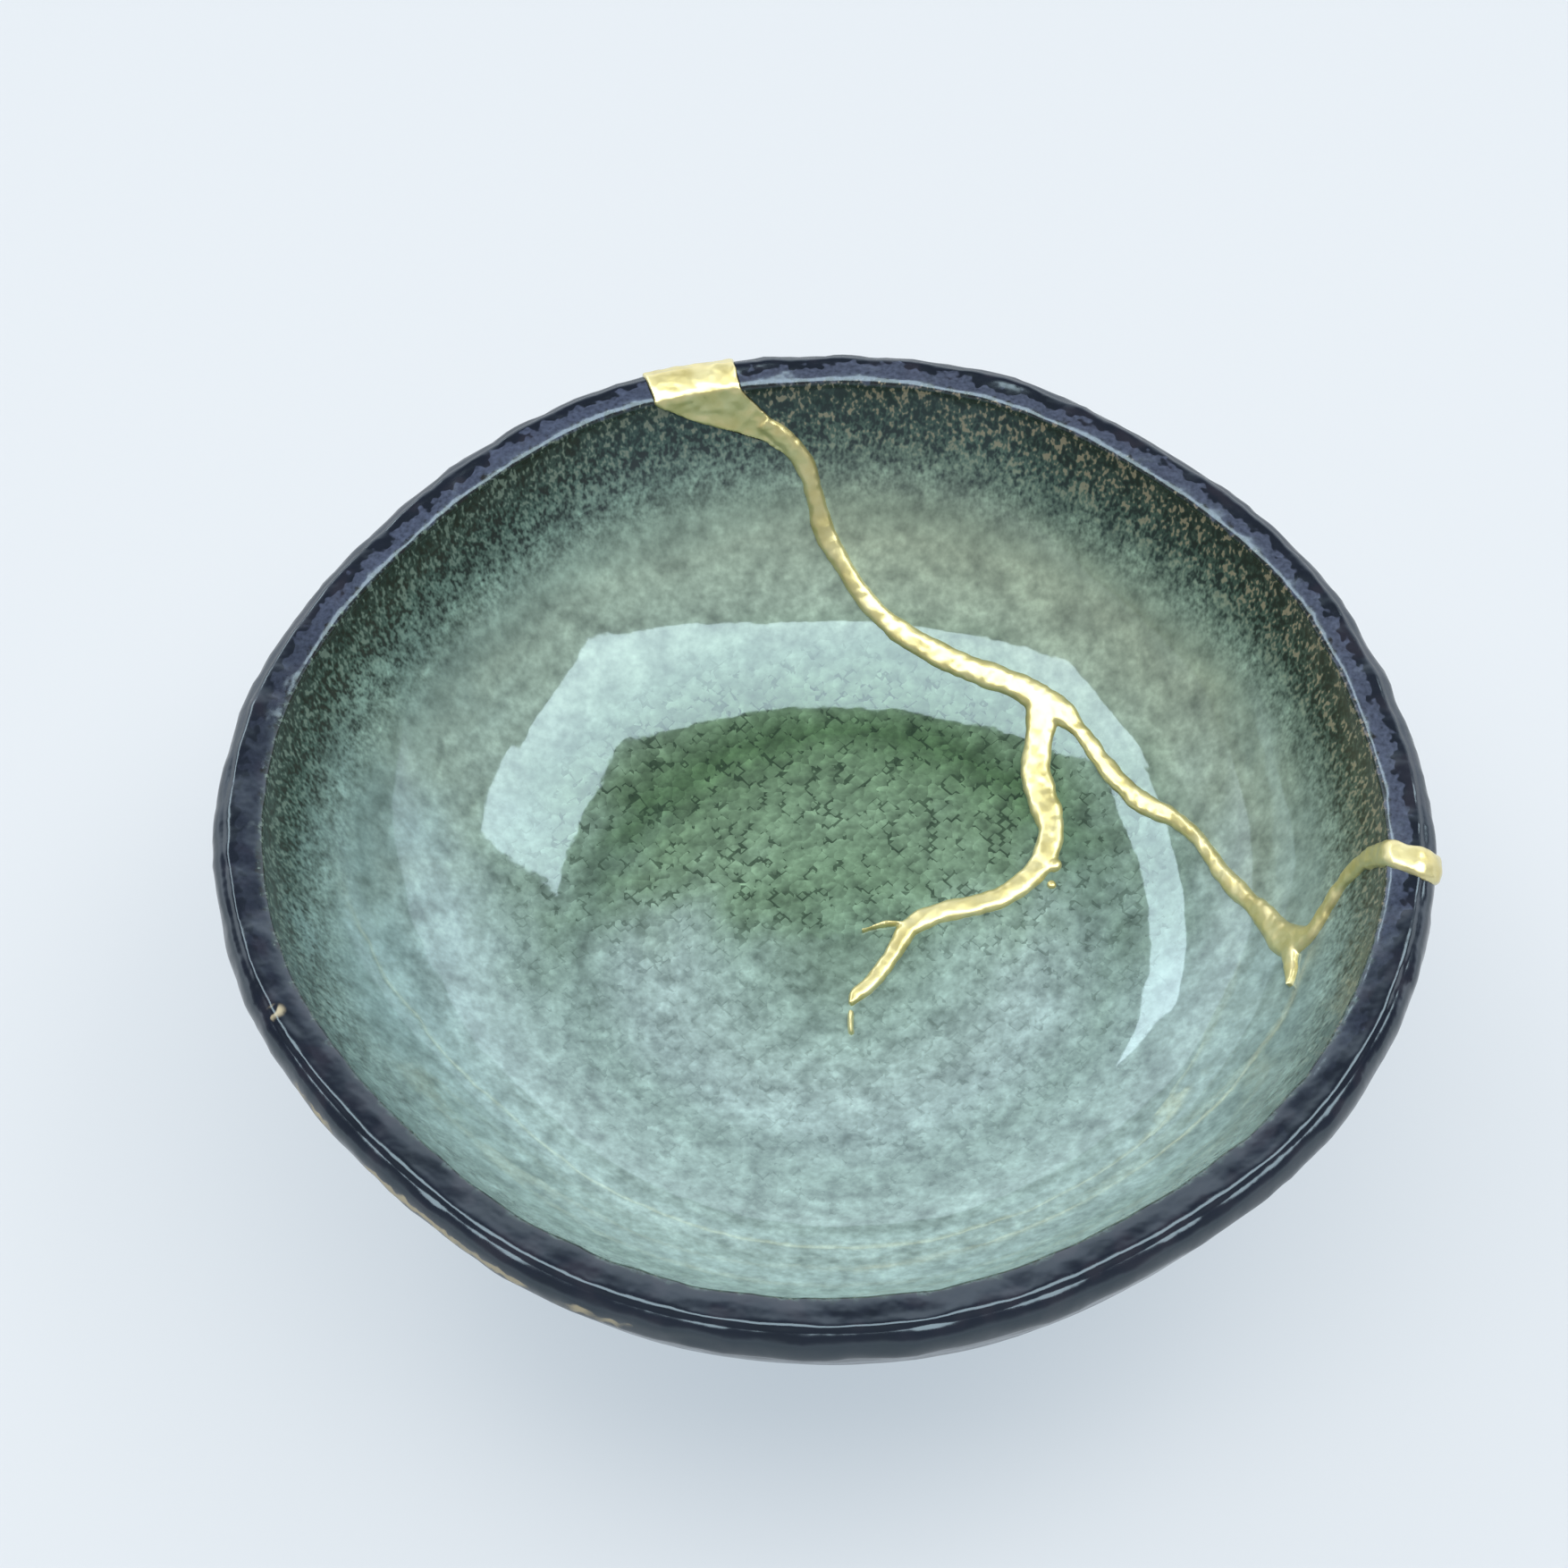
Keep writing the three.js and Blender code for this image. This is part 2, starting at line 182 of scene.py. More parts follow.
# %% [markdown]
# ## Throwing the clay
#
# A wheel makes a round form from one profile, and Blender's spin does the same. A plane is merged
# to one vertex, extruded point by point along the profile and spun right round. The profile could
# also be a curve with a Screw modifier, but the spin leaves a plain mesh at once. The rings are
# close together on the lip, where the light shows every ripple, and wider apart elsewhere. A
# profile moved out a little gives the skin in which the flush gold of the chip is cut.

# %% Selecting and cleaning
MERGE_DISTANCE = 0.002 * MM


def only(piece):
    if bpy.context.object and bpy.context.object.mode != "OBJECT":
        bpy.ops.object.mode_set(mode="OBJECT")
    bpy.ops.object.select_all(action="DESELECT")
    piece.select_set(True)
    bpy.context.view_layer.objects.active = piece
    return piece


def clean(piece):
    """Doubles merged first, then every face turned outwards."""
    only(piece)
    bpy.ops.object.mode_set(mode="EDIT")
    bpy.ops.mesh.select_all(action="SELECT")
    bpy.ops.mesh.remove_doubles(threshold=MERGE_DISTANCE)
    bpy.ops.mesh.normals_make_consistent(inside=False)
    bpy.ops.object.mode_set(mode="OBJECT")
    return piece


print("points closer than", MERGE_DISTANCE / MM, "mm are merged")

# %% Throwing the clay
WHEEL_STEPS = 380
WIDE_RINGS = 0.9 * MM
NARROW_RINGS = 0.25 * MM
FINE_BEFORE_LIP = 2 * MM
FINE_PAST_EDGE = 5 * MM


def ring_places(wide, narrow):
    """Which profile points become rings: narrow steps on the lip, wide steps elsewhere."""
    on_lip = (RUNS > LIP_RUN - FINE_BEFORE_LIP) & (RUNS < EDGE_RUN + FINE_PAST_EDGE)
    weight = np.cumsum(np.where(on_lip, 1 / narrow, 1 / wide) * STEP)
    chosen = [np.argmax(weight >= mark) for mark in np.arange(weight[0], weight[-1], 1)]
    return sorted(set(chosen) | {0, len(RUNS) - 1})


def thrown(name, out=0.0, steps=WHEEL_STEPS, wide=WIDE_RINGS, narrow=NARROW_RINGS):
    bpy.ops.object.select_all(action="DESELECT")
    outline = (PROFILE + OUTWARD * out)[ring_places(wide, narrow)]
    outline[0, 0] = outline[-1, 0] = 0
    bpy.ops.mesh.primitive_plane_add(size=MM, location=(outline[0, 0], 0, outline[0, 1]))
    piece = bpy.context.object
    piece.name = name
    bpy.ops.object.transform_apply()
    bpy.ops.object.mode_set(mode="EDIT")
    bpy.ops.mesh.merge(type="CENTER")
    for across, up in np.diff(outline, axis=0):
        bpy.ops.mesh.extrude_region_move(TRANSFORM_OT_translate={"value": (across, 0, up)})
    bpy.ops.mesh.select_all(action="SELECT")
    bpy.ops.mesh.spin(steps=steps, angle=2 * math.pi, center=(0, 0, 0), axis=(0, 0, 1))
    bpy.ops.object.mode_set(mode="OBJECT")
    return clean(piece)


bowl = thrown("bowl")
print("the thrown bowl has", len(bowl.data.polygons), "faces")

# %% [markdown]
# ## Marks of the hand
#
# Thrown clay is never even. The fingers leave shallow rings outside and a low spiral in the floor.
# Thick glaze stands on the lip in soft lumps and hangs over its shoulder in a small shelf. All this
# is real relief here, because the lip breaks up every reflection that runs along it. Each point
# moves along its own normal by what the noises and the rings say.

# %% Reading and moving points


def coordinates(piece):
    flat = np.empty(3 * len(piece.data.vertices))
    piece.data.vertices.foreach_get("co", flat)
    return flat.reshape(-1, 3)


def place_points(piece, points):
    piece.data.vertices.foreach_set("co", points.ravel())
    piece.data.update()


def normals_of(piece):
    flat = np.empty(3 * len(piece.data.vertices))
    piece.data.vertex_normals.foreach_get("vector", flat)
    return flat.reshape(-1, 3)


nearest = kdtree.KDTree(len(PROFILE))
for index, (across, up) in enumerate(PROFILE):
    nearest.insert((across, up, 0), index)
nearest.balance()


def runs_of(points):
    """The run of every point: that of the nearest place on the profile."""
    radius = np.hypot(points[:, 0], points[:, 1])
    return np.array([RUNS[nearest.find((r, z, 0))[1]] for r, z in zip(radius, points[:, 2])])


print("a point in the floor's middle has run", runs_of(np.array([[0, 0, FLOOR_TOP]]))[0])

# %% Noises and soft steps


def rough(points, size, seed=0.0):
    return np.array([noise.noise(Vector(point) / size + Vector((seed, 0, 0))) for point in points])


def step_up(value, low, high):
    share = np.clip((value - low) / (high - low), 0, 1)
    return share * share * (3 - 2 * share)


def hump(value, middle, width):
    return np.exp(-((value - middle) / width) ** 2)


print("half way up a soft step:", float(step_up(0.5, 0, 1)))

# %% Marks of the hand
LUMP_SIZE = 5 * MM
LUMP_HEIGHT = 0.32 * MM
SMALLER = 2.3
RIPPLE_SIZE = 1.7 * MM
RIPPLE_HEIGHT = 0.09 * MM
SHELF_PLACE = 4.3 * MM
SHELF_DEPTH = 0.1 * MM
SHELF_WANDER = 0.5 * MM
RING_SPACING = 4.2 * MM
RING_HEIGHT = 0.07 * MM
LIP_REACH = 6 * MM
LUMPS_INSIDE, LUMPS_OUTSIDE, RINGS_INSIDE = 0.05, 0.25, 0.06

points = coordinates(bowl)
runs = runs_of(points)
past_mouth = runs - LIP_RUN
lumps = rough(points, LUMP_SIZE) + 0.5 * rough(points, LUMP_SIZE / SMALLER)
ripples = rough(points, RIPPLE_SIZE, 5.0)
on_lip = hump(runs, (LIP_RUN + EDGE_RUN) / 2, LIP_REACH)
outside = step_up(runs, EDGE_RUN, EDGE_RUN + 6 * MM)
outside *= step_up(-runs, -FOOT_RUN, -FOOT_RUN + 4 * MM)
inside = step_up(-past_mouth, 0, 8 * MM)
rings = np.sin(2 * math.pi * runs / RING_SPACING + np.arctan2(points[:, 1], points[:, 0]))
shelf = past_mouth + SHELF_WANDER * rough(points, 9 * MM, 9.0) - SHELF_PLACE
shelf = step_up(shelf, -0.45 * MM, 0.1 * MM) * step_up(-shelf, -2.6 * MM, -0.4 * MM)
rise = LUMP_HEIGHT * lumps * (LUMPS_INSIDE * inside + on_lip + LUMPS_OUTSIDE * outside)
rise += RIPPLE_HEIGHT * ripples * on_lip
rise -= SHELF_DEPTH * shelf * (0.75 + rough(points, 14 * MM, 3.0))
rise += RING_HEIGHT * rings * (outside + RINGS_INSIDE * inside * step_up(runs, 4 * MM, 12 * MM))
place_points(bowl, points + normals_of(bowl) * rise[:, None])
print("relief from", round(rise.min() / MM, 2), "to", round(rise.max() / MM, 2), "mm")

# %% [markdown]
# ## Where it broke
#
# The cracks are drawn on the bowl as on a map: a compass bearing, a distance from the middle as a
# share of the mouth, and the width of the gold there. On this map a place lies at its run from the
# middle. Past the mouth the run goes on over the lip and down the outside, so one line can be
# drawn right round the rim. Besides the three cracks there are a drip, a thin strand, a short
# stroke and two drops of spilt gold, and the corners of the lost chip.

# %% Where it broke
MAIN_CRACK = [
    (97.5, 0.98, 1.6), (95, 0.963, 2.3), (93.2, 0.94, 2.3), (92.3, 0.91, 1.9), (91.5, 0.862, 2.5),
    (88.9, 0.806, 2), (84.8, 0.744, 2.3), (78.6, 0.699, 2.7), (67.6, 0.67, 3), (57, 0.673, 3.2),
    (50.5, 0.668, 4),
]
RIGHT_CRACK = [
    (53, 0.67, 3.6), (49, 0.674, 3.2), (43.5, 0.664, 1.9), (37, 0.651, 2), (31, 0.648, 2.1),
    (24.9, 0.659, 2.4), (18.7, 0.693, 1.9), (12.9, 0.72, 1.6), (5, 0.744, 2), (-3.9, 0.803, 2.5),
    (-9.8, 0.85, 3.8), (-10.4, 0.89, 2.3), (-8.1, 0.919, 1.9), (-6.5, 0.948, 1.8), (-6.6, 0.978, 2),
    (-8.8, 1, 3),
]
CENTRE_CRACK = [
    (51.5, 0.66, 4.2), (49.1, 0.615, 3.4), (45.2, 0.553, 3.5), (38.4, 0.513, 3.4),
    (30.5, 0.479, 3.1), (23.4, 0.422, 2.8), (18.3, 0.344, 2.6), (17.1, 0.267, 2.6),
    (18.2, 0.194, 2.5), (12, 0.13, 2.1), (-16, 0.1, 1.8), (-59, 0.108, 1.7), (-80, 0.13, 1.4),
    (-86, 0.148, 0.4),
]
DRIP = [
    (-9.5, 0.856, 1.6), (-11.5, 0.857, 2.4), (-13.6, 0.86, 2.2), (-15.6, 0.864, 1.5),
    (-17.4, 0.868, 0.5),
]
STRAND = [(17, 0.125, 0.5), (23, 0.085, 0.4), (28.6, 0.039, 0.34)]
STROKE = [(-86.2, 0.166, 0.5), (-87, 0.19, 0.6), (-87.2, 0.216, 0.45)]
DROPS = [(21.6, 0.446, 0.95), (16.5, 0.425, 0.62)]
CHIP_CORNERS = [
    (109.8, 1.12), (109.8, 1), (106.4, 0.989), (102, 0.976), (97.4, 0.962), (92.6, 0.932),
    (94, 0.962), (97.2, 0.986), (99.6, 1), (100.6, 1.12),
]
print("cracks:", len(MAIN_CRACK), len(RIGHT_CRACK), len(CENTRE_CRACK), "places each")

# %% From bearings to the map
LAST_SHARE_OUTSIDE = 0.985


def on_map(bearing, run):
    return run * math.cos(math.radians(bearing)), run * math.sin(math.radians(bearing))


def inner_run(share):
    if share >= 1:
        return LIP_RUN + (share - 1) * MOUTH_RADIUS
    return run_at(inner_point(share))


def drawn(crack):
    """A crack as rows of map place and width."""
    return [(*on_map(bearing, inner_run(share)), width * MM) for bearing, share, width in crack]


def drawn_outside(crack, narrowing):
    rows = []
    for bearing, share, width in crack:
        run = max(run_at(outer_point(min(share, LAST_SHARE_OUTSIDE))), EDGE_RUN)
        rows.append((*on_map(bearing, run), width * narrowing * MM))
    return rows


print("the shard's crack starts on the map at", np.round(drawn(MAIN_CRACK)[0], 4))

# %% [markdown]
# ## Blocks bent along a line
#
# A line on the map becomes a solid in two ways. For the cuts it goes straight through the wall
# along the inner normals, as a break does. For the gold it lies on the surface, inside or out. In
# both ways it starts as a grid with the right number of strips, extruded once into a block and
# then laid along the line, point by point.

# %% From the map to the bowl
INNER = RUNS <= LIP_RUN
SMALLEST_RUN = 0.1 * MM


def turned(radius, bearing, height):
    return np.stack([radius * np.cos(bearing), radius * np.sin(bearing), height], axis=1)


def through_wall(place, depth):
    """The point at a depth below the inner face. Past the mouth the break goes straight up."""
    run = np.hypot(place[:, 0], place[:, 1])
    bearing = np.arctan2(place[:, 1], place[:, 0])
    within = np.minimum(run, LIP_RUN)
    radius = np.interp(within, RUNS[INNER], PROFILE[INNER, 0])
    height = np.interp(within, RUNS[INNER], PROFILE[INNER, 1]) + np.maximum(run - LIP_RUN, 0)
    outward = [np.interp(within, RUNS[INNER], -OUTWARD[INNER, side]) for side in (0, 1)]
    outward = np.stack(outward, axis=1)
    outward /= np.linalg.norm(outward, axis=1)[:, None]
    radius = radius + outward[:, 0] * depth
    height = height + outward[:, 1] * depth
    return turned(radius, bearing, height)


def on_surface(place, depth):
    """The point at a depth below a place anywhere along the profile."""
    run = np.hypot(place[:, 0], place[:, 1])
    bearing = np.arctan2(place[:, 1], place[:, 0])
    radius = np.interp(run, RUNS, PROFILE[:, 0]) - np.interp(run, RUNS, OUTWARD[:, 0]) * depth
    height = np.interp(run, RUNS, PROFILE[:, 1]) - np.interp(run, RUNS, OUTWARD[:, 1]) * depth
    return turned(radius, bearing, height)


def beside(place, along, distance):
    """A step sideways on the map that is a true distance on the clay."""
    run = np.maximum(np.hypot(place[:, 0], place[:, 1]), SMALLEST_RUN)
    outward = place / run[:, None]
    around = np.stack([-outward[:, 1], outward[:, 0]], axis=1)
    side = np.stack([-along[:, 1], along[:, 0]], axis=1)
    radius = np.maximum(np.interp(run, RUNS, PROFILE[:, 0]), SMALLEST_RUN)
    step_out = (side * outward).sum(axis=1) * distance
    step_around = (side * around).sum(axis=1) * distance * run / radius
    return place + outward * step_out[:, None] + around * step_around[:, None]


print("the map's mouth lies at", np.round(on_surface(np.array([[LIP_RUN, 0]]), 0)[0], 4))

# %% Blocks bent along a line


def bent_block(name, rows, lay, strips, step, width_of, depth_of):
    """A block along a line: depth_of gives its depth from how far across and up a point is."""
    path = smooth_path(rows, step)
    parts = len(path) - 1
    bpy.ops.object.select_all(action="DESELECT")
    bpy.ops.mesh.primitive_grid_add(x_subdivisions=strips, y_subdivisions=parts, size=2)
    piece = bpy.context.object
    piece.name = name
    bpy.ops.object.mode_set(mode="EDIT")
    bpy.ops.mesh.extrude_region_move(TRANSFORM_OT_translate={"value": (0, 0, 1)})
    bpy.ops.object.mode_set(mode="OBJECT")
    raw = coordinates(piece)
    station = np.rint((raw[:, 1] + 1) / 2 * parts).astype(int)
    along = np.gradient(path[:, :2], axis=0)
    along /= np.linalg.norm(along, axis=1)[:, None]
    width = width_of(path[:, 2], np.linspace(0, 1, parts + 1))[station]
    place = beside(path[station, :2], along[station], -raw[:, 0] * width / 2)
    place_points(piece, lay(place, depth_of(raw[:, 0], raw[:, 2], station / parts)))
    return clean(piece)


def finished(piece, kind, **settings):
    """Adds a modifier and applies it."""
    only(piece)
    modifier = piece.modifiers.new(kind.title(), kind)
    for name, value in settings.items():
        setattr(modifier, name, value)
    bpy.ops.object.modifier_apply(modifier=modifier.name)
    return piece


def joined(pieces, name):
    only(pieces[0])
    for piece in pieces[1:]:
        piece.select_set(True)
    bpy.ops.object.join()
    pieces[0].name = name
    return pieces[0]


print("modifiers left on the bowl:", len(bowl.modifiers))

# %% [markdown]
# ## Breaking the bowl
#
# Each crack is cut from the whole bowl with a boolean. The two cracks that reach the rim go right
# through and free the shard. The one across the floor is only a groove, because the floor is
# thick. The lost chip is a block over the lip, drawn from its corners.

# %% Cutters
CRACK_WIDTH = 1.6
CUT_STEP = 0.8 * MM
GROOVE_DEPTH = 3 * MM
CUT_REACH = 1.6 * MM
LIP_PASS = [(-9.8, 1.04, 3.3), (-10, 1.12, 3.3)]


def through(across, up, along):
    return WALL + CUT_REACH - up * (WALL + 2 * CUT_REACH)


def grooved(across, up, along):
    return GROOVE_DEPTH - up * (GROOVE_DEPTH + CUT_REACH)


def crack_block(name, crack, depth_of, width):
    def even(widths, along):
        return np.full(len(widths), width * MM)
    return bent_block(name, drawn(crack), through_wall, 1, CUT_STEP, even, depth_of)


def chip_block(name, growth):
    corners = np.array([on_map(bearing, inner_run(share)) for bearing, share in CHIP_CORNERS])
    middle = corners.mean(axis=0)
    away = corners - middle
    corners = corners + away / np.linalg.norm(away, axis=1)[:, None] * growth
    edge = np.vstack([corners, corners[:1]])
    outline = []
    for start, end in zip(edge[:-1], edge[1:]):
        parts = max(int(np.linalg.norm(end - start) / MM), 1)
        outline.extend(start + (end - start) * part / parts for part in range(parts))
    outline = np.array(outline)
    bpy.ops.object.select_all(action="DESELECT")
    bpy.ops.mesh.primitive_circle_add(vertices=len(outline), radius=1, fill_type="NGON")
    piece = bpy.context.object
    piece.name = name
    bpy.ops.object.mode_set(mode="EDIT")
    bpy.ops.mesh.extrude_region_move(TRANSFORM_OT_translate={"value": (0, 0, 1)})
    bpy.ops.object.mode_set(mode="OBJECT")
    raw = coordinates(piece)
    turn = 2 * math.pi / len(outline)
    first = math.atan2(raw[0, 1], raw[0, 0])
    order = np.rint((np.arctan2(raw[:, 1], raw[:, 0]) - first) / turn).astype(int) % len(outline)
    depth = 2 * WALL - raw[:, 2] * (2 * WALL + CUT_REACH)
    place_points(piece, through_wall(outline[order], depth))
    finished(piece, "TRIANGULATE")
    return clean(piece)


print("cracks are cut", CRACK_WIDTH, "mm wide")

# %% Breaking the bowl


def cut(piece, cutter, operation="DIFFERENCE"):
    finished(piece, "BOOLEAN", object=cutter, operation=operation, solver="MANIFOLD")
    bpy.data.objects.remove(cutter)
    return piece


cut(bowl, crack_block("main_cut", MAIN_CRACK, through, CRACK_WIDTH))
cut(bowl, crack_block("right_cut", RIGHT_CRACK + LIP_PASS, through, CRACK_WIDTH))
# The groove stops before the gold tapers off, or a dark hole would show beside its tip
cut(bowl, crack_block("centre_cut", CENTRE_CRACK[:-2], grooved, CRACK_WIDTH))
cut(bowl, chip_block("chip_cut", 0))
only(bowl)
bpy.ops.object.mode_set(mode="EDIT")
bpy.ops.mesh.select_all(action="SELECT")
bpy.ops.mesh.separate(type="LOOSE")
bpy.ops.object.mode_set(mode="OBJECT")
clay = sorted(bpy.context.selected_objects, key=lambda piece: -len(piece.data.polygons))
print("clay pieces:", [(piece.name, len(piece.data.polygons)) for piece in clay])
for crumb in clay[2:]:
    bpy.data.objects.remove(crumb)
clay = clay[:2]

# %% [markdown]
# ## The gold
#
# The lacquer stands on the glaze like a thick bead: steep at its edges, softly domed and never of
# quite the same width. Every line is a bent block with a domed top, laid over the surface. The
# line of the right crack goes over the lip and on outside. In the cracks a thin web joins inside
# and outside, and the chip is filled flush with the rim. One voxel remesh fuses them all, as
# the gold is one body, and a little smoothing rounds what the voxels leave.

# %% The shape of a gold line
LINE_HEIGHT = 0.72 * MM
LINE_ROOT = 0.55 * MM
LINE_SPREAD = 0.35 * MM
LINE_STRIPS = 12
FLAT_TOP = 3.4
ROUND_SIDES = 0.6
UNEVENNESS = 0.2
POINTS_PER_SWAY = 7
GOLD_STEP = 0.45 * MM


def uneven(seed, strength):
    def width_of(widths, along):
        places = along * len(widths) / POINTS_PER_SWAY
        sway = [noise.noise(Vector((place, seed, 0))) for place in places]
        return widths * (1 + strength * np.array(sway)) + np.minimum(LINE_SPREAD, widths / 4)
    return width_of


def bead(across, up, along):
    height = LINE_HEIGHT * np.clip(1 - np.abs(across) ** FLAT_TOP, 0, 1) ** ROUND_SIDES
    return LINE_ROOT - up * (LINE_ROOT + height)


def gold_line(name, rows, seed, strips=LINE_STRIPS):
    return bent_block(name, rows, on_surface, strips, GOLD_STEP, uneven(seed, UNEVENNESS), bead)


print("a gold line stands", round(LINE_HEIGHT / MM, 2), "mm above the glaze")

# %% The gold lines
OUTSIDE_NARROWING = 0.7
DROP_FLATNESS = (1, 1, 0.75)

over_lip = [(*on_map(-9.6, LIP_RUN + 2 * MM), 3.3 * MM), (*on_map(-10, LIP_RUN + 5 * MM), 3.4 * MM)]
back_outside = drawn_outside(RIGHT_CRACK[1:][::-1][1:], OUTSIDE_NARROWING)
round_rim = drawn(RIGHT_CRACK) + over_lip + back_outside
lines = [
    gold_line("main_line", drawn(MAIN_CRACK), 1),
    gold_line("right_line", round_rim, 2),
    gold_line("centre_line", drawn(CENTRE_CRACK), 3),
    gold_line("drip", drawn(DRIP), 4, 8),
    gold_line("strand", drawn(STRAND), 6, 4),
    gold_line("stroke", drawn(STROKE), 8, 4),
    gold_line("main_line_outside", drawn_outside(MAIN_CRACK, OUTSIDE_NARROWING), 5),
]
for bearing, share, radius in DROPS:
    bpy.ops.object.select_all(action="DESELECT")
    bpy.ops.mesh.primitive_uv_sphere_add(segments=24, ring_count=12, radius=radius * MM)
    drop = bpy.context.object
    middle = on_surface(np.array([on_map(bearing, inner_run(share))]), 0)[0]
    place_points(drop, coordinates(drop) * DROP_FLATNESS + middle)
    lines.append(drop)
print("gold lines and drops:", len(lines))

# %% The patch and the webs
PATCH_HEIGHT = 0.32 * MM
PATCH_GROWTH = -0.1 * MM
SKIN_STEPS = 240
WEB_WIDTH = 1.2
WEB_REACH = 0.2 * MM


def web(across, up, along):
    return WALL + WEB_REACH - up * (WALL + 2 * WEB_REACH)


skin = thrown("skin", PATCH_HEIGHT, SKIN_STEPS, 2 * WIDE_RINGS, 2 * NARROW_RINGS)
patch = cut(chip_block("patch", PATCH_GROWTH), skin, "INTERSECT")
webs = [
    crack_block("main_web", MAIN_CRACK, web, WEB_WIDTH),
    crack_block("right_web", RIGHT_CRACK, web, WEB_WIDTH),
]
print("the patch has", len(patch.data.polygons), "faces")

# %% One body of gold
GRAIN_SIZE = 1.9 * MM
GRAIN_HEIGHT = 0.15 * MM
FINER = 2.2
GOLD_VOXEL = 0.17 * MM
SHARE_KEPT = 0.4

gold = joined([patch] + lines + webs, "gold")
finished(gold, "REMESH", mode="VOXEL", voxel_size=GOLD_VOXEL, adaptivity=0)
print("gold after the remesh:", len(gold.data.polygons), "faces")
finished(gold, "SMOOTH", factor=0.5, iterations=6)
points = coordinates(gold)
lumps = rough(points, GRAIN_SIZE, 21.0) + 0.5 * rough(points, GRAIN_SIZE / FINER, 4.0)
place_points(gold, points + normals_of(gold) * (GRAIN_HEIGHT * lumps)[:, None])
finished(gold, "DECIMATE", ratio=SHARE_KEPT)
print("gold:", len(gold.data.polygons), "faces")

# %% [markdown]
# ## Pressing the rim
#
# The wheel made it round, and fingers pressed it in at a few places. The press is nothing at the
# foot and whole at the rim, which also rises and falls a little, and the well of the bowl sits a
# little to one side. Clay and gold are pressed by the same rule, so the mend stays on its cracks.
# Before that, each point of the clay keeps its run in an attribute. The glaze follows it.

# %% Pressing the rim
PRESSED_PLACES = [
    (47, 22, 1.8), (13, 14, 1.0), (146, 18, 1.2), (226, 18, 1.3), (301, 14, 0.8), (70, 16, -0.5),
    (114, 12, -0.9),
]
RIM_WAVES = [(2, 0.5, 20), (3, 0.3, 75)]
CREASE_ANGLE = 40


def press(piece):
    points = coordinates(piece)
    bearing = np.degrees(np.arctan2(points[:, 1], points[:, 0]))
    radius = np.hypot(points[:, 0], points[:, 1])
    rising = np.clip((points[:, 2] - FOOT_HEIGHT) / (RIM_HEIGHT - FOOT_HEIGHT), 0, 1)
    share = rising * rising * (3 - 2 * rising)
    depth = np.zeros(len(points))
    for middle, spread, inward in PRESSED_PLACES:
        away = (bearing - middle + 180) % 360 - 180
        depth += inward * MM * np.exp(-(away / spread) ** 2)
    lift = np.zeros(len(points))
    for count, height, start in RIM_WAVES:
        lift += height * MM * np.cos(np.radians(count * (bearing - start)))
    reach = radius * (1 - share * depth / RIM_RADIUS)
    points[:, 0] = reach * np.cos(np.radians(bearing)) + WELL_OFFSET * (1 - share)
    points[:, 1] = reach * np.sin(np.radians(bearing))
    points[:, 2] += share * lift
    place_points(piece, points)
    return piece


def remember_run(piece):
    runs = runs_of(coordinates(piece)) / MM
    attribute = piece.data.attributes.new("run", "FLOAT", "POINT")
    attribute.data.foreach_set("value", runs.astype(np.float32))


for piece in clay:
    remember_run(piece)
for piece in clay + [gold]:
    press(clean(piece))
    only(piece)
    bpy.ops.object.shade_smooth_by_angle(angle=math.radians(CREASE_ANGLE))
clay[0].name, clay[1].name, gold.name = "glazed_bowl", "glazed_shard", "gold_mend"
print("pressed:", [piece.name for piece in clay + [gold]])

# %% [markdown]
# ## Helpers for the finishes
#
# Every finish is built from nodes. These helpers make a node, feed it with numbers or with other
# nodes, and turn a colour as the eye reads it (0 to 255) into the linear colour that light needs.

# %% Helpers for the finishes


def linear(level):
    return ((level / 255 + 0.055) / 1.055) ** 2.4 if level > 10 else level / 255 / 12.92


def colour(red, green, blue, depth=1.0):
    return (*(depth * linear(level) for level in (red, green, blue)), 1)


def feed(tree, socket, value):
    if isinstance(value, bpy.types.NodeSocket):
        tree.links.new(value, socket)
    else:
        socket.default_value = value


def node(tree, kind, inputs=(), **settings):
    made = tree.nodes.new("ShaderNode" + kind)
    for name, value in settings.items():
        setattr(made, name, value)
    for name, value in dict(inputs).items():
        feed(tree, made.inputs[name], value)
    return made


def maths(tree, operation, first, second=0.0):
    return node(tree, "Math", {0: first, 1: second}, operation=operation).outputs[0]


def vectors(tree, operation, first, second=(0, 0, 0), output="Vector"):
    return node(tree, "VectorMath", {0: first, 1: second}, operation=operation).outputs[output]


def scaled(tree, vector, scale):
    made = node(tree, "VectorMath", {0: vector}, operation="SCALE")
    feed(tree, made.inputs["Scale"], scale)
    return made.outputs["Vector"]


def between(tree, value, low, high):
    """0 at low, 1 at high, smooth in between."""
    ends = {"Value": value, "From Min": low, "From Max": high}
    return node(tree, "MapRange", ends, interpolation_type="SMOOTHSTEP").outputs["Result"]


def blended(tree, factor, first, second, blend_type="MIX"):
    made = node(tree, "Mix", data_type="RGBA", blend_type=blend_type)
    feed(tree, made.inputs[0], factor)
    feed(tree, made.inputs[6], first)
    feed(tree, made.inputs[7], second)
    return made.outputs[2]


def ramp(tree, value, stops):
    made = node(tree, "ValToRGB", {"Fac": value})
    band = made.color_ramp
    while len(band.elements) < len(stops):
        band.elements.new(0.5)
    for element, (place, shade) in zip(band.elements, sorted(stops)):
        element.position = place
        element.color = shade
    return made.outputs["Color"]


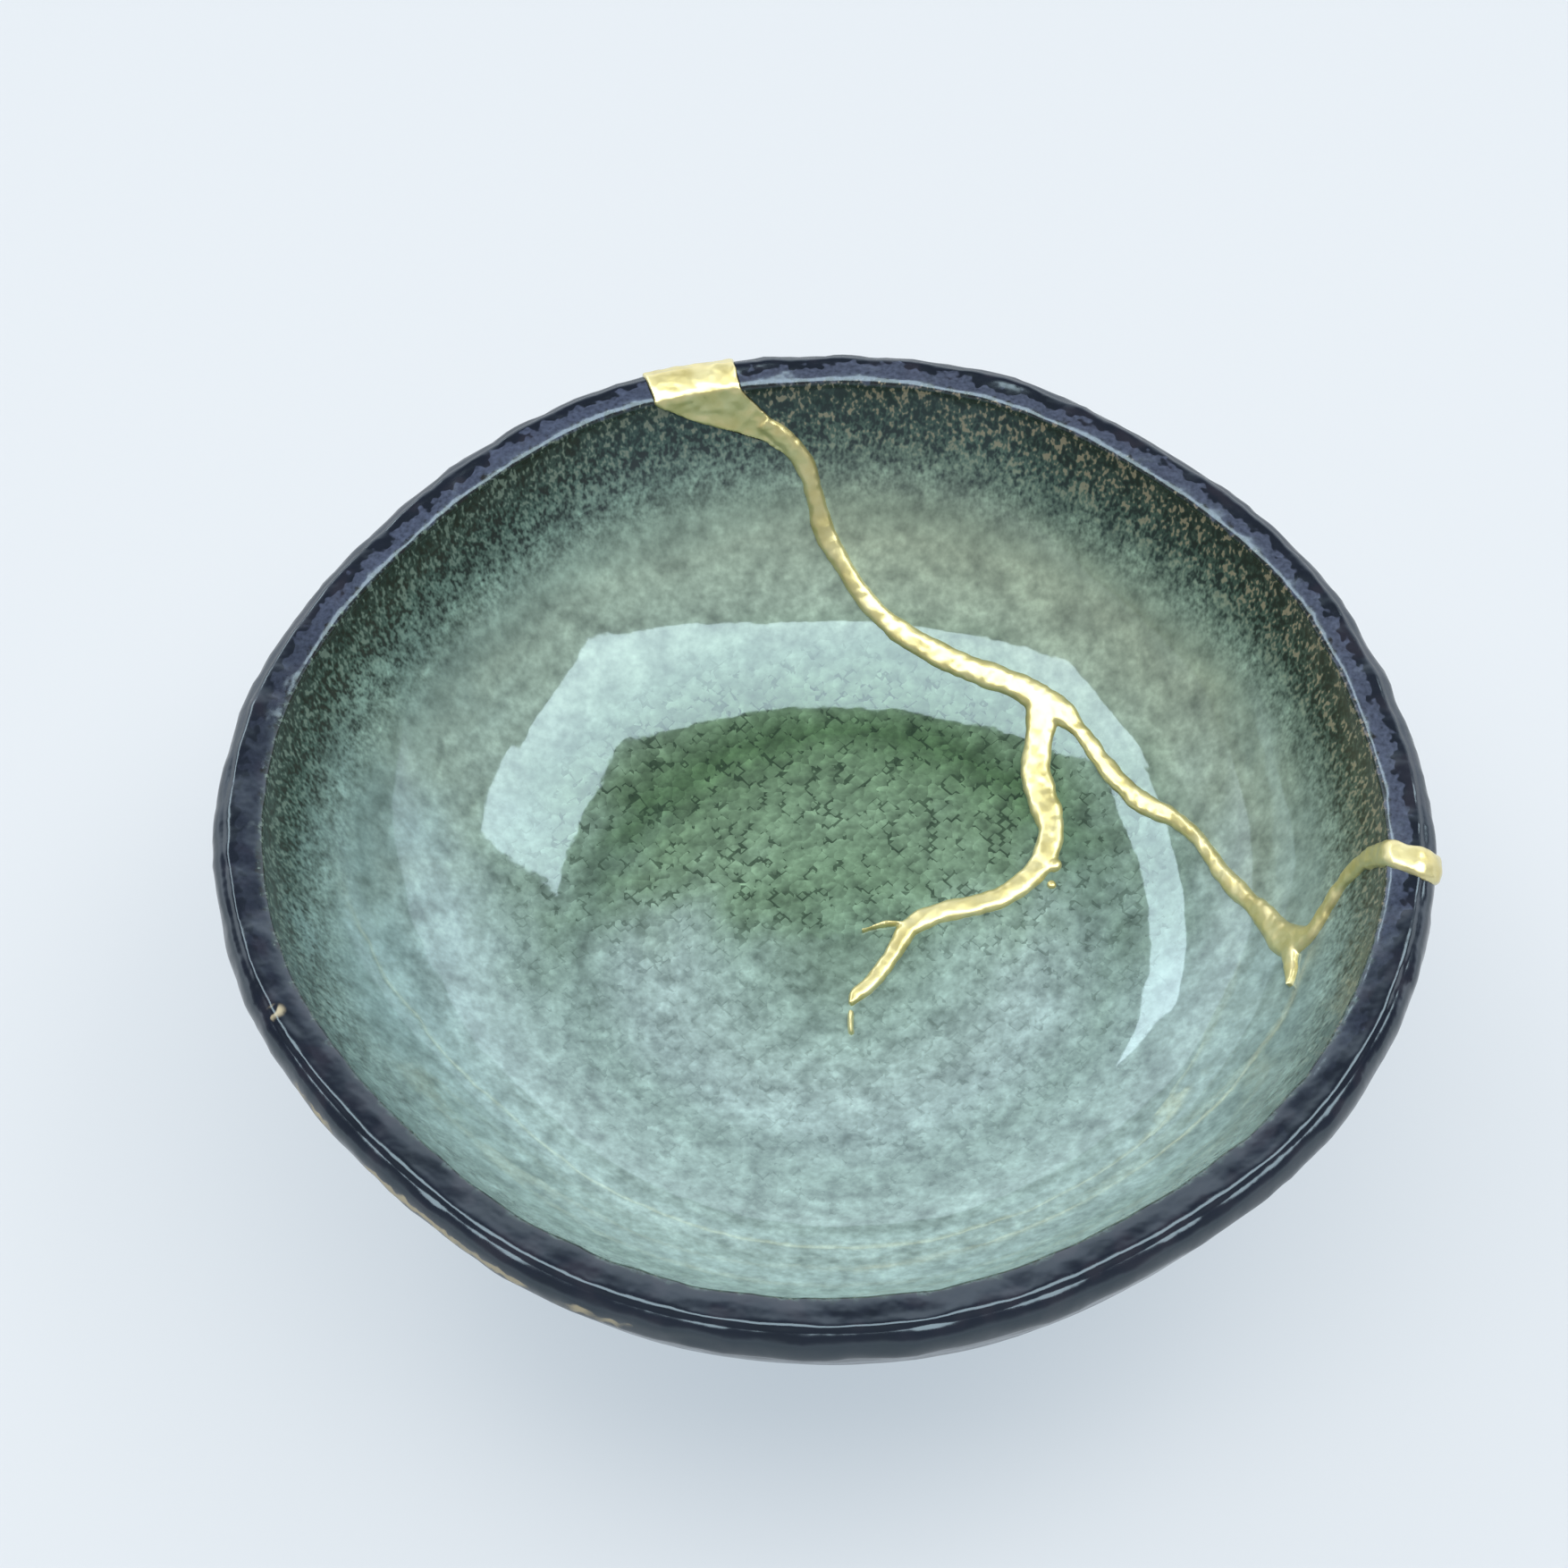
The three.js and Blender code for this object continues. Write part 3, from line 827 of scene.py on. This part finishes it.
def group(name, inputs, outputs):
    """A node group. Its inputs are numbers with start values, its outputs are given by kind."""
    tree = bpy.data.node_groups.new(name, "ShaderNodeTree")
    sockets = tree.interface
    for label, value in inputs.items():
        made = sockets.new_socket(name=label, in_out="INPUT", socket_type="NodeSocketFloat")
        made.default_value = value
    for label, kind in outputs.items():
        sockets.new_socket(name=label, in_out="OUTPUT", socket_type="NodeSocket" + kind)
    return tree, tree.nodes.new("NodeGroupInput").outputs, tree.nodes.new("NodeGroupOutput").inputs


def use(tree, grouped, **inputs):
    made = tree.nodes.new("ShaderNodeGroup")
    made.node_tree = grouped
    for name, value in inputs.items():
        feed(tree, made.inputs[name], value)
    return made.outputs


def new_material(name):
    material = bpy.data.materials.new(name)
    material.use_nodes = True
    return material, material.node_tree, material.node_tree.nodes["Principled BSDF"]


print("a middle grey of 128 is", round(linear(128), 3), "in light")

# %% [markdown]
# ## Streaks
#
# Glaze runs downhill in the kiln, so its colours are drawn out along the wall: fine hairs below
# the lip and soft clouds further down. The noise for that is read with the height left out and
# the run put in its place, squeezed so that spots on the steep wall become streaks.

# %% Streaks
streaks, given, out = group(
    "glaze_streaks",
    {"Run": 0.0, "Spot": 1.0, "Stretch": 3.0, "Detail": 3.0, "Seed": 0.0},
    {"Value": "Float"},
)
place = node(streaks, "TexCoord").outputs["Object"]
flat = vectors(streaks, "MULTIPLY", place, (1 / MM, 1 / MM, 0))
around = scaled(streaks, flat, maths(streaks, "DIVIDE", 1.0, given["Spot"]))
downhill = maths(streaks, "DIVIDE", given["Run"], given["Spot"])
downhill = maths(streaks, "DIVIDE", downhill, given["Stretch"])
downhill = maths(streaks, "ADD", downhill, given["Seed"])
up = node(streaks, "CombineXYZ", {"Z": downhill}).outputs[0]
where = vectors(streaks, "ADD", around, up)
pattern = {"Vector": where, "Scale": 1.0, "Detail": given["Detail"], "Roughness": 0.6}
feed(streaks, out["Value"], node(streaks, "TexNoise", pattern).outputs["Fac"])
print("group", streaks.name)

# %% [markdown]
# ## Crackle
#
# The glaze on the floor is thick and shrank more than the clay, so it is crazed all over: fine
# cracks a millimetre or two apart, with dark specks where some of them meet. Voronoi cells have
# such edges, and they are straighter still when distance is counted along the axes. Each flake of
# glass leans its own way, and that is painted in as light and shade: each flake is lighter on one
# side and darker on the other.

# %% Crackle
MEAN_LEAN = (0.8, 0.1, 0.5)

crackle, given, out = group("glaze_crackle", {"Cell": 1.6}, {"Facet_shade": "Float", "Specks": "Float"})
place = node(crackle, "TexCoord").outputs["Object"]
where = scaled(crackle, place, maths(crackle, "DIVIDE", 1 / MM, given["Cell"]))
pattern = {"Vector": where, "Scale": 1.0}
cells = node(crackle, "TexVoronoi", pattern, feature="F1", distance="MANHATTAN").outputs
within = vectors(crackle, "SUBTRACT", where, cells["Position"])
lean = vectors(crackle, "SUBTRACT", cells["Color"], MEAN_LEAN)
# Painted light and shade: a gradient across each flake, in a direction of its own
feed(crackle, out["Facet_shade"], vectors(crackle, "DOT_PRODUCT", within, lean, "Value"))
corner = between(crackle, cells["Distance"], 0.85, 0.95)
rare = node(crackle, "SeparateColor", {"Color": cells["Color"]}).outputs[0]
feed(crackle, out["Specks"], maths(crackle, "MULTIPLY", corner, between(crackle, rare, 0.6, 0.7)))
print("group", crackle.name)

# %% [markdown]
# ## The glaze
#
# One glaze covers bowl and shard, so one group paints both, and the pattern runs on across the
# cracks. The group is given the run of a point and gives back a colour, a roughness and a fine
# relief. From the middle outwards it is: a cloudy green floor, a darker ring where the glaze
# pooled, a pale wall, then hairs of dark brown and green below a nearly black lip. Outside it is
# the same near-black, broken by brown, down to the foot, which is bare clay.

# %% The glaze group and its helpers
LONG = RUNS[-1] / MM
GLAZE_DEPTH = 0.6

glaze, given, out = group(
    "running_glaze",
    {"Run": 0.0, "Warmth": 0.5},
    {"Color": "Color", "Roughness": "Float", "Height": "Float"},
)
run = given["Run"]


def glass(red, green, blue):
    return colour(red, green, blue, GLAZE_DEPTH)


def along_inside(stops):
    """Stops of a ramp, from shares of the mouth and the colours there."""
    return [(inner_run(share) / MM / LONG, glass(*shade)) for share, shade in stops]


def minus(first, second):
    return maths(glaze, "SUBTRACT", first, second)


def added(*values):
    total = values[0]
    for value in values[1:]:
        total = maths(glaze, "ADD", total, value)
    return total


def times(first, *others):
    for other in others:
        first = maths(glaze, "MULTIPLY", first, other)
    return first


def centred(value, strength):
    return times(minus(value, 0.5), strength)


def mask(value, low, high):
    return between(glaze, value, low, high)


def covered(shade, where, tone, blend_type="MIX"):
    return blended(glaze, where, shade, tone, blend_type)


def lit(shade, light):
    grey = node(glaze, "CombineColor", {0: light, 1: light, 2: light}).outputs[0]
    return covered(shade, 1.0, grey, "MULTIPLY")


def zone(low, high):
    """0 at one share of the mouth, 1 at the other."""
    return mask(run, inner_run(low) / MM, inner_run(high) / MM)


print("the glaze follows a profile", round(LONG, 1), "mm long")

# %% [markdown]
# ## Sides and streaks
#
# The glaze isn't the same all round: it is paler on the near side and darker on the far side.
# Four sizes of streaks, from hairs to clouds, break up every border between two colours.

# %% Sides and streaks
NEAR_BEARING = 270
LEFT_BEARING = 165

place = node(glaze, "TexCoord").outputs["Object"]
heading = vectors(glaze, "NORMALIZE", vectors(glaze, "MULTIPLY", place, (1, 1, 0)))


def from_side(bearing):
    """1 towards that side of the bowl, -1 away from it."""
    toward = (math.cos(math.radians(bearing)), math.sin(math.radians(bearing)), 0)
    return vectors(glaze, "DOT_PRODUCT", heading, toward, "Value")


hairs = use(glaze, streaks, Run=run, Spot=0.55, Stretch=1.7, Detail=1.0)["Value"]
tufts = use(glaze, streaks, Run=run, Spot=1.6, Stretch=1.4, Detail=1.0, Seed=7.0)["Value"]
clouds = use(glaze, streaks, Run=run, Spot=12.0, Stretch=1.2, Detail=2.0, Seed=3.0)["Value"]
mottle = use(glaze, streaks, Run=run, Spot=4.2, Stretch=1.3, Detail=1.0, Seed=11.0)["Value"]
fringe = zone(0.88, 0.985)
facing = added(from_side(NEAR_BEARING), centred(clouds, 1.0))
near = times(mask(facing, -0.8, 0.45), minus(1.0, times(fringe, mask(facing, 0.75, 0.0))))
left = mask(from_side(LEFT_BEARING), 0.1, 0.95)
print("streaks of", sum(kind.type == "GROUP" for kind in glaze.nodes), "sizes")

# %% [markdown]
# ## Wall and floor
#
# A row of colours runs from the middle of the floor up to the mouth, once for the far side and
# once for the near side. The run is shaken a little by the clouds first, so that no ring of colour
# comes out as if drawn with a compass.

# %% Wall and floor
FAR_COLOURS = [
    (0.0, (122, 149, 127)), (0.15, (119, 148, 118)), (0.30, (125, 153, 124)),
    (0.40, (113, 141, 110)), (0.49, (82, 112, 76)), (0.58, (112, 138, 110)),
    (0.68, (138, 162, 142)), (0.76, (168, 187, 168)), (0.85, (171, 187, 165)),
    (0.90, (153, 172, 152)), (0.94, (118, 139, 123)), (0.97, (74, 94, 82)), (1.0, (46, 52, 46)),
]
NEAR_COLOURS = [
    (0.0, (122, 147, 128)), (0.10, (132, 156, 140)), (0.20, (152, 177, 166)),
    (0.35, (166, 188, 183)), (0.42, (164, 186, 182)), (0.52, (143, 167, 158)),
    (0.62, (148, 172, 164)), (0.74, (172, 196, 191)), (0.85, (156, 181, 175)),
    (0.94, (138, 161, 154)), (0.98, (108, 132, 126)), (1.0, (78, 96, 92)),
]
LEFT_TINT = (0.88, 0.95, 1.01, 1)

shaken = added(run, centred(clouds, 5.0), centred(tufts, 1.6))
shaken = maths(glaze, "DIVIDE", shaken, LONG)
far_side = ramp(glaze, shaken, along_inside(FAR_COLOURS))
near_side = ramp(glaze, shaken, along_inside(NEAR_COLOURS))
inside = covered(far_side, near, near_side)
inside = covered(inside, times(left, zone(0.6, 0.9)), LEFT_TINT, "MULTIPLY")
inside = lit(inside, added(1.0, centred(mottle, 1.0), centred(tufts, 0.75)))
print("colours up the wall:", len(FAR_COLOURS), "far,", len(NEAR_COLOURS), "near")

# %% [markdown]
# ## Crackle and curls
#
# The crackle shows where the glaze is thick, on the floor, and is veiled towards the near side.
# Just below the lip the glaze broke into curled strands of dark, brown and cream. They come from
# one noise: its high parts are painted cream and its low parts dark.

# %% Crackle and curls
CRACKLE_SIZE = 1.3
FLAKE_SHADE_STRENGTH = 0.55
SPECK_STRENGTH = 0.7
DARKEST = 0.18
SPECK, CURL_DARK = glass(30, 48, 30), glass(34, 25, 20)
CURL_CREAM, CURL_LEFT = glass(176, 160, 132), glass(128, 146, 132)

crazed = use(glaze, crackle, Cell=CRACKLE_SIZE)
thick = times(zone(0.74, 0.56), minus(1.0, times(near, 0.7)))
# Painted light and shade of the flakes, where the glaze is thick
inside = lit(inside, added(1.0, times(crazed["Facet_shade"], thick, FLAKE_SHADE_STRENGTH)))
inside = covered(inside, times(crazed["Specks"], thick, SPECK_STRENGTH), SPECK)
curls = added(hairs, centred(tufts, 0.5))
contrast = added(0.5, times(fringe, minus(5.0, times(near, 3.0))))
light = added(1.0, times(centred(curls, 1.0), contrast))
inside = lit(inside, maths(glaze, "MAXIMUM", light, DARKEST))
strand = times(zone(0.93, 0.985), minus(0.8, times(near, 0.6)))
curl_tone = covered(CURL_CREAM, left, CURL_LEFT)
inside = covered(inside, times(mask(curls, 0.56, 0.66), strand), curl_tone)
inside = covered(inside, times(mask(curls, 0.46, 0.38), strand), CURL_DARK)
print("flakes of", CRACKLE_SIZE, "mm")

# %% [markdown]
# ## Over the lip and outside
#
# Over the lip the glaze is nearly black. A bluish band on the lip's inner shoulder is a painted
# reflection, fainter on the near side and left out on the side in shade. Lower down it is thinner
# and breaks to brown with pale specks.

# %% Over the lip and outside
OUTSIDE_COLOURS = [
    (LIP_RUN, (8, 10, 20)), (EDGE_RUN + 4 * MM, (17, 19, 36)), (EDGE_RUN + 18 * MM, (27, 23, 30)),
    (FOOT_RUN - 10 * MM, (40, 30, 26)), (FOOT_RUN, (62, 42, 28)),
]
SHADE_BEARING = 205

shaken = maths(glaze, "DIVIDE", added(run, centred(mottle, 14.0)), LONG)
stops = [(place_on_run / MM / LONG, colour(*shade)) for place_on_run, shade in OUTSIDE_COLOURS]
outside = ramp(glaze, shaken, stops)
outside = covered(outside, times(mask(mottle, 0.5, 0.68), 0.4), colour(40, 34, 40))
lower = mask(run, EDGE_RUN / MM + 3, EDGE_RUN / MM + 14)
breaks = mask(added(clouds, centred(tufts, 0.6), centred(mottle, 0.4)), 0.48, 0.62)
outside = covered(outside, times(breaks, lower, 0.6), colour(82, 58, 42))
specks = mask(added(hairs, centred(tufts, 0.5)), 0.6, 0.68)
outside = covered(outside, times(specks, lower, 0.4), colour(126, 120, 112))
# Painted reflection: a bluish band on the lip's inner shoulder, fainter on the near side
painted_reflection = added(run, centred(tufts, 4.0), centred(clouds, 3.0))
painted_reflection = mask(painted_reflection, LIP_RUN / MM + 2.7, LIP_RUN / MM + 2.3)
painted_reflection = times(painted_reflection, minus(0.85, times(near, 0.8)), added(0.75, centred(hairs, 1.3)))
# No painted reflection on the side where the lip is in shade
shade_side = mask(from_side(SHADE_BEARING), 0.55, 0.92)
painted_reflection = times(painted_reflection, minus(1.0, times(shade_side, 0.8)))
outside = covered(outside, painted_reflection, colour(70, 77, 96))
lip_edge = added(run, centred(tufts, 2.6), centred(hairs, 0.8))
past_edge = mask(lip_edge, LIP_RUN / MM + 0.2, LIP_RUN / MM + 0.9)
painted = covered(inside, past_edge, outside)
print("colours down the outside:", len(OUTSIDE_COLOURS))

# %% [markdown]
# ## Worn rim and bare foot
#
# The bowl was used. At the near left the rim is worn in a thin line and has a small nick, and the
# pale clay shows. The foot was wiped clean before firing, so that the bowl wouldn't stick to the
# kiln shelf, and its clay is bare and speckled.

# %% Worn rim and bare foot
WORN_BEARING = 235
WORN_PLACE = 7.2
NICK_PLACE = (-55.6 * MM, -29.9 * MM, RIM_HEIGHT)
PALE_CLAY, DARK_CLAY, LIGHT_CLAY = glass(206, 190, 150), glass(112, 82, 58), glass(168, 132, 98)
WARM_TINT = (1.06, 1.0, 0.9, 1)

worn = minus(added(run, centred(tufts, 2.0)), LIP_RUN / MM + WORN_PLACE)
worn = mask(maths(glaze, "ABSOLUTE", worn), 0.6, 0.25)
worn = times(worn, mask(added(from_side(WORN_BEARING), centred(mottle, 0.25)), 0.94, 0.985))
from_nick = vectors(glaze, "DISTANCE", place, NICK_PLACE, "Value")
nick = times(mask(from_nick, 1.3 * MM, 0.7 * MM), mask(tufts, 0.45, 0.55))
worn = maths(glaze, "MAXIMUM", worn, nick)
painted = covered(painted, worn, PALE_CLAY)
foot_edge = added(run, centred(tufts, 2.5), centred(mottle, 2.0))
bare = mask(foot_edge, FOOT_RUN / MM - 0.2, FOOT_RUN / MM + 0.3)
painted = covered(painted, bare, covered(DARK_CLAY, hairs, LIGHT_CLAY))
warm = covered((1, 1, 1, 1), given["Warmth"], WARM_TINT)
feed(glaze, out["Color"], covered(painted, 1.0, warm, "MULTIPLY"))
print("the rim is worn", WORN_PLACE, "mm past the mouth")

# %% [markdown]
# ## Gloss
#
# The glaze is glass-smooth inside, satin among the curled strands and wet on the lip, and the bare
# foot is dry. The bump is only the finest unevenness. All larger relief is in the mesh.

# %% Gloss
SMOOTH_GLASS, SATIN, DRY, SCUFFED = 0.045, 0.24, 0.6, 0.3
RELIEF_INSIDE, RELIEF_ON_LIP = 0.005, 0.06

on_lip = mask(run, LIP_RUN / MM - 1, LIP_RUN / MM + 0.5)
satin = times(zone(0.87, 0.95), minus(SATIN, times(on_lip, 0.1)))
feed(glaze, out["Roughness"], added(SMOOTH_GLASS, satin, times(bare, DRY), times(worn, SCUFFED)))
feed(glaze, out["Height"], times(tufts, added(RELIEF_INSIDE, times(on_lip, RELIEF_ON_LIP))))
print("group", glaze.name, "with", len(glaze.nodes), "nodes")

# %% [markdown]
# ## Glazing the clay
#
# Bowl and shard get the same glaze in two materials, because each fills a slot of its own. The
# shard is a little warmer, as in the photograph. The run that each point remembers is read by an
# Attribute node. The high index of refraction gives the glaze its strong, slightly blue gloss.

# %% Glazing the clay
GLAZE_IOR = 1.75
GLOSS_TINT = (0.72, 0.92, 1.0, 1)


def dress(piece, material):
    piece.data.materials.clear()
    piece.data.materials.append(material)


def glaze_material(name, piece, warmth):
    material, tree, shader = new_material(name)
    run = node(tree, "Attribute", attribute_name="run").outputs["Fac"]
    painted = use(tree, glaze, Run=run, Warmth=warmth)
    feed(tree, shader.inputs["Base Color"], painted["Color"])
    feed(tree, shader.inputs["Roughness"], painted["Roughness"])
    relief = node(tree, "Bump", {"Height": painted["Height"], "Strength": 1.0, "Distance": MM})
    feed(tree, shader.inputs["Normal"], relief.outputs["Normal"])
    shader.inputs["IOR"].default_value = GLAZE_IOR
    shader.inputs["Specular Tint"].default_value = GLOSS_TINT
    dress(piece, material)


glaze_material("glaze_of_bowl", clay[0], 0.0)
glaze_material("glaze_of_shard", clay[1], 0.4)
print("glazed:", clay[0].name, "and", clay[1].name)

# %% [markdown]
# ## The gold finish
#
# Gold powder is dusted on wet lacquer and rubbed when dry: a pale, satin metal with soft
# highlights, darker and a little glossier in patches.

# %% The gold finish
GOLD_DARK, GOLD_PALE = colour(204, 190, 122), colour(222, 213, 158)
RUB_SCALE = 350.0
GRAIN_SCALE = 2600.0
SHEER_LACQUER = {
    "Metallic": 0.8, "Coat Weight": 0.7, "Coat Roughness": 0.15, "Coat IOR": 1.7,
}

gilt, tree, shader = new_material("rubbed_gold")
place = node(tree, "TexCoord").outputs["Object"]
rub = node(tree, "TexNoise", {"Vector": place, "Scale": RUB_SCALE, "Detail": 4.0}).outputs["Fac"]
fine = {"Vector": place, "Scale": GRAIN_SCALE, "Detail": 2.0}
grain = node(tree, "TexNoise", fine).outputs["Fac"]
feed(tree, shader.inputs["Base Color"], ramp(tree, rub, [(0.3, GOLD_DARK), (0.7, GOLD_PALE)]))
feed(tree, shader.inputs["Roughness"], maths(tree, "ADD", 0.34, maths(tree, "MULTIPLY", rub, 0.14)))
for name, value in SHEER_LACQUER.items():
    shader.inputs[name].default_value = value
relief = node(tree, "Bump", {"Height": grain, "Strength": 0.15, "Distance": 0.05 * MM})
feed(tree, shader.inputs["Normal"], relief.outputs["Normal"])
dress(gold, gilt)
print("gilded:", gold.name)

# %% [markdown]
# ## What stands for what
#
# Each finished piece rides on the one body of the bowl and takes the place of its plain solid.

# %% What stands for what
for piece, solid in ((clay[0], "bowl_body"), (clay[1], "rim_shard"), (gold, "gold_seam")):
    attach(piece, "root")
    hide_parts(solid)
    print(piece.name, "stands for", solid)

# %% [markdown]
# ## The table
#
# The bowl stands on a plain white sheet that glows faintly, as if lit from below, so its shadow
# stays soft and pale. Further away, where the lights don't reach, the sheet glows more, and it
# runs into the surroundings without a line.

# %% The table
TABLE_SIZE = 6
SHEET_COLOUR = (0.195, 0.176, 0.161, 1)
GLOW_NEAR, GLOW_FAR = (0.46, 0.535, 0.6, 1), (0.76, 0.83, 0.88, 1)

bpy.ops.object.select_all(action="DESELECT")
bpy.ops.mesh.primitive_plane_add(size=TABLE_SIZE, location=(0, 0, 0))
table = bpy.context.object
table.name = "table"
sheet, tree, shader = new_material("white_sheet")
shader.inputs["Base Color"].default_value = SHEET_COLOUR
shader.inputs["Roughness"].default_value = 0.8
away = vectors(tree, "LENGTH", node(tree, "TexCoord").outputs["Object"], output="Value")
feed(tree, shader.inputs["Emission Color"], ramp(tree, away, [(0.3, GLOW_NEAR), (1.0, GLOW_FAR)]))
shader.inputs["Emission Strength"].default_value = 1.0
table.data.materials.append(sheet)
print("the table is", TABLE_SIZE, "m wide")

# %% [markdown]
# ## The light
#
# Three soft panels make one large light in the shape of a wide bracket. Its reflection is the pale
# crescent in the floor of the bowl. The surroundings are pale low down and darker above, and that
# is what the near wall and the lip reflect. They change only from front to back, by the angle
# above the horizon.

# %% The light
LIGHT_HEIGHT = 0.8
GLOW = 5.0
LIGHT_COLOUR = (0.94, 0.975, 1.0)


def light_panel(name, left, right, low, high):
    """One panel of the light. Its edges are given as shares of its height above the table."""
    middle = ((left + right) / 2 * LIGHT_HEIGHT, (low + high) / 2 * LIGHT_HEIGHT, LIGHT_HEIGHT)
    bpy.ops.object.light_add(type="AREA", location=middle)
    panel = bpy.context.object
    panel.name = name
    panel.data.shape = "RECTANGLE"
    panel.data.size = (right - left) * LIGHT_HEIGHT
    panel.data.size_y = (high - low) * LIGHT_HEIGHT
    panel.data.energy = GLOW * math.pi * panel.data.size * panel.data.size_y
    panel.data.color = LIGHT_COLOUR
    print(name, "gives", round(panel.data.energy, 2), "W")


light_panel("front_panel", -0.9, 1.0, -0.36, 0.2)
light_panel("left_panel", 0.4, 1.13, 0.2, 0.62)
light_panel("right_panel", -0.86, -0.5, 0.2, 1.3)

# %% The surroundings
BACK_TO_FRONT = [
    (0.0, (0.8, 0.87, 0.92, 1)),
    (0.03, (1.3, 1.33, 1.42, 1)),
    (0.2, (1.25, 1.28, 1.4, 1)),
    (0.25, (0.6, 0.65, 0.72, 1)),
    (0.30, (0.16, 0.18, 0.21, 1)),
    (0.45, (0.16, 0.18, 0.21, 1)),
    (0.75, (0.30, 0.32, 0.36, 1)),
    (0.87, (0.36, 0.38, 0.42, 1)),
    (0.97, (0.9, 0.93, 1.0, 1)),
    (1.0, (0.8, 0.87, 0.92, 1)),
]

world = bpy.data.worlds.new("surroundings")
bpy.context.scene.world = world
world.use_nodes = True
tree = world.node_tree
heading = node(tree, "SeparateXYZ", {"Vector": node(tree, "TexCoord").outputs["Generated"]}).outputs
turn = maths(tree, "DIVIDE", maths(tree, "ARCTAN2", heading["Z"], heading["Y"]), math.pi)
feed(tree, tree.nodes["Background"].inputs["Color"], ramp(tree, turn, BACK_TO_FRONT))
tree.nodes["Background"].inputs["Strength"].default_value = 1.0
print("tones from back to front:", len(BACK_TO_FRONT))

# %% [markdown]
# ## The camera
#
# The photograph looks down on the bowl at a little over fifty degrees. A long lens from close by
# gives the same mild perspective, and a small shift puts the bowl where it is in the picture.

# %% The camera
IMAGE_SIDE = 1754
TARGET = Vector((0, 0, RIM_HEIGHT))
ELEVATION = math.radians(53.5)
DISTANCE = 292.5 * MM
PICTURE_PLACE = (923, 870)
SENSOR_WIDTH = 36
LENS = 62.17
NEAREST_SEEN = 0.01

bpy.ops.object.camera_add()
camera = bpy.context.object
camera.location = TARGET + DISTANCE * Vector((0, -math.cos(ELEVATION), math.sin(ELEVATION)))
camera.rotation_euler = (math.pi / 2 - ELEVATION, 0, 0)
camera.data.sensor_width = SENSOR_WIDTH
camera.data.lens = LENS
camera.data.clip_start = NEAREST_SEEN
camera.data.shift_x = -(PICTURE_PLACE[0] - IMAGE_SIDE / 2) / IMAGE_SIDE
camera.data.shift_y = (PICTURE_PLACE[1] - IMAGE_SIDE / 2) / IMAGE_SIDE
bpy.context.scene.camera = camera
bpy.context.scene.view_settings.view_transform = "Standard"
print("camera at", tuple(round(value, 4) for value in camera.location))
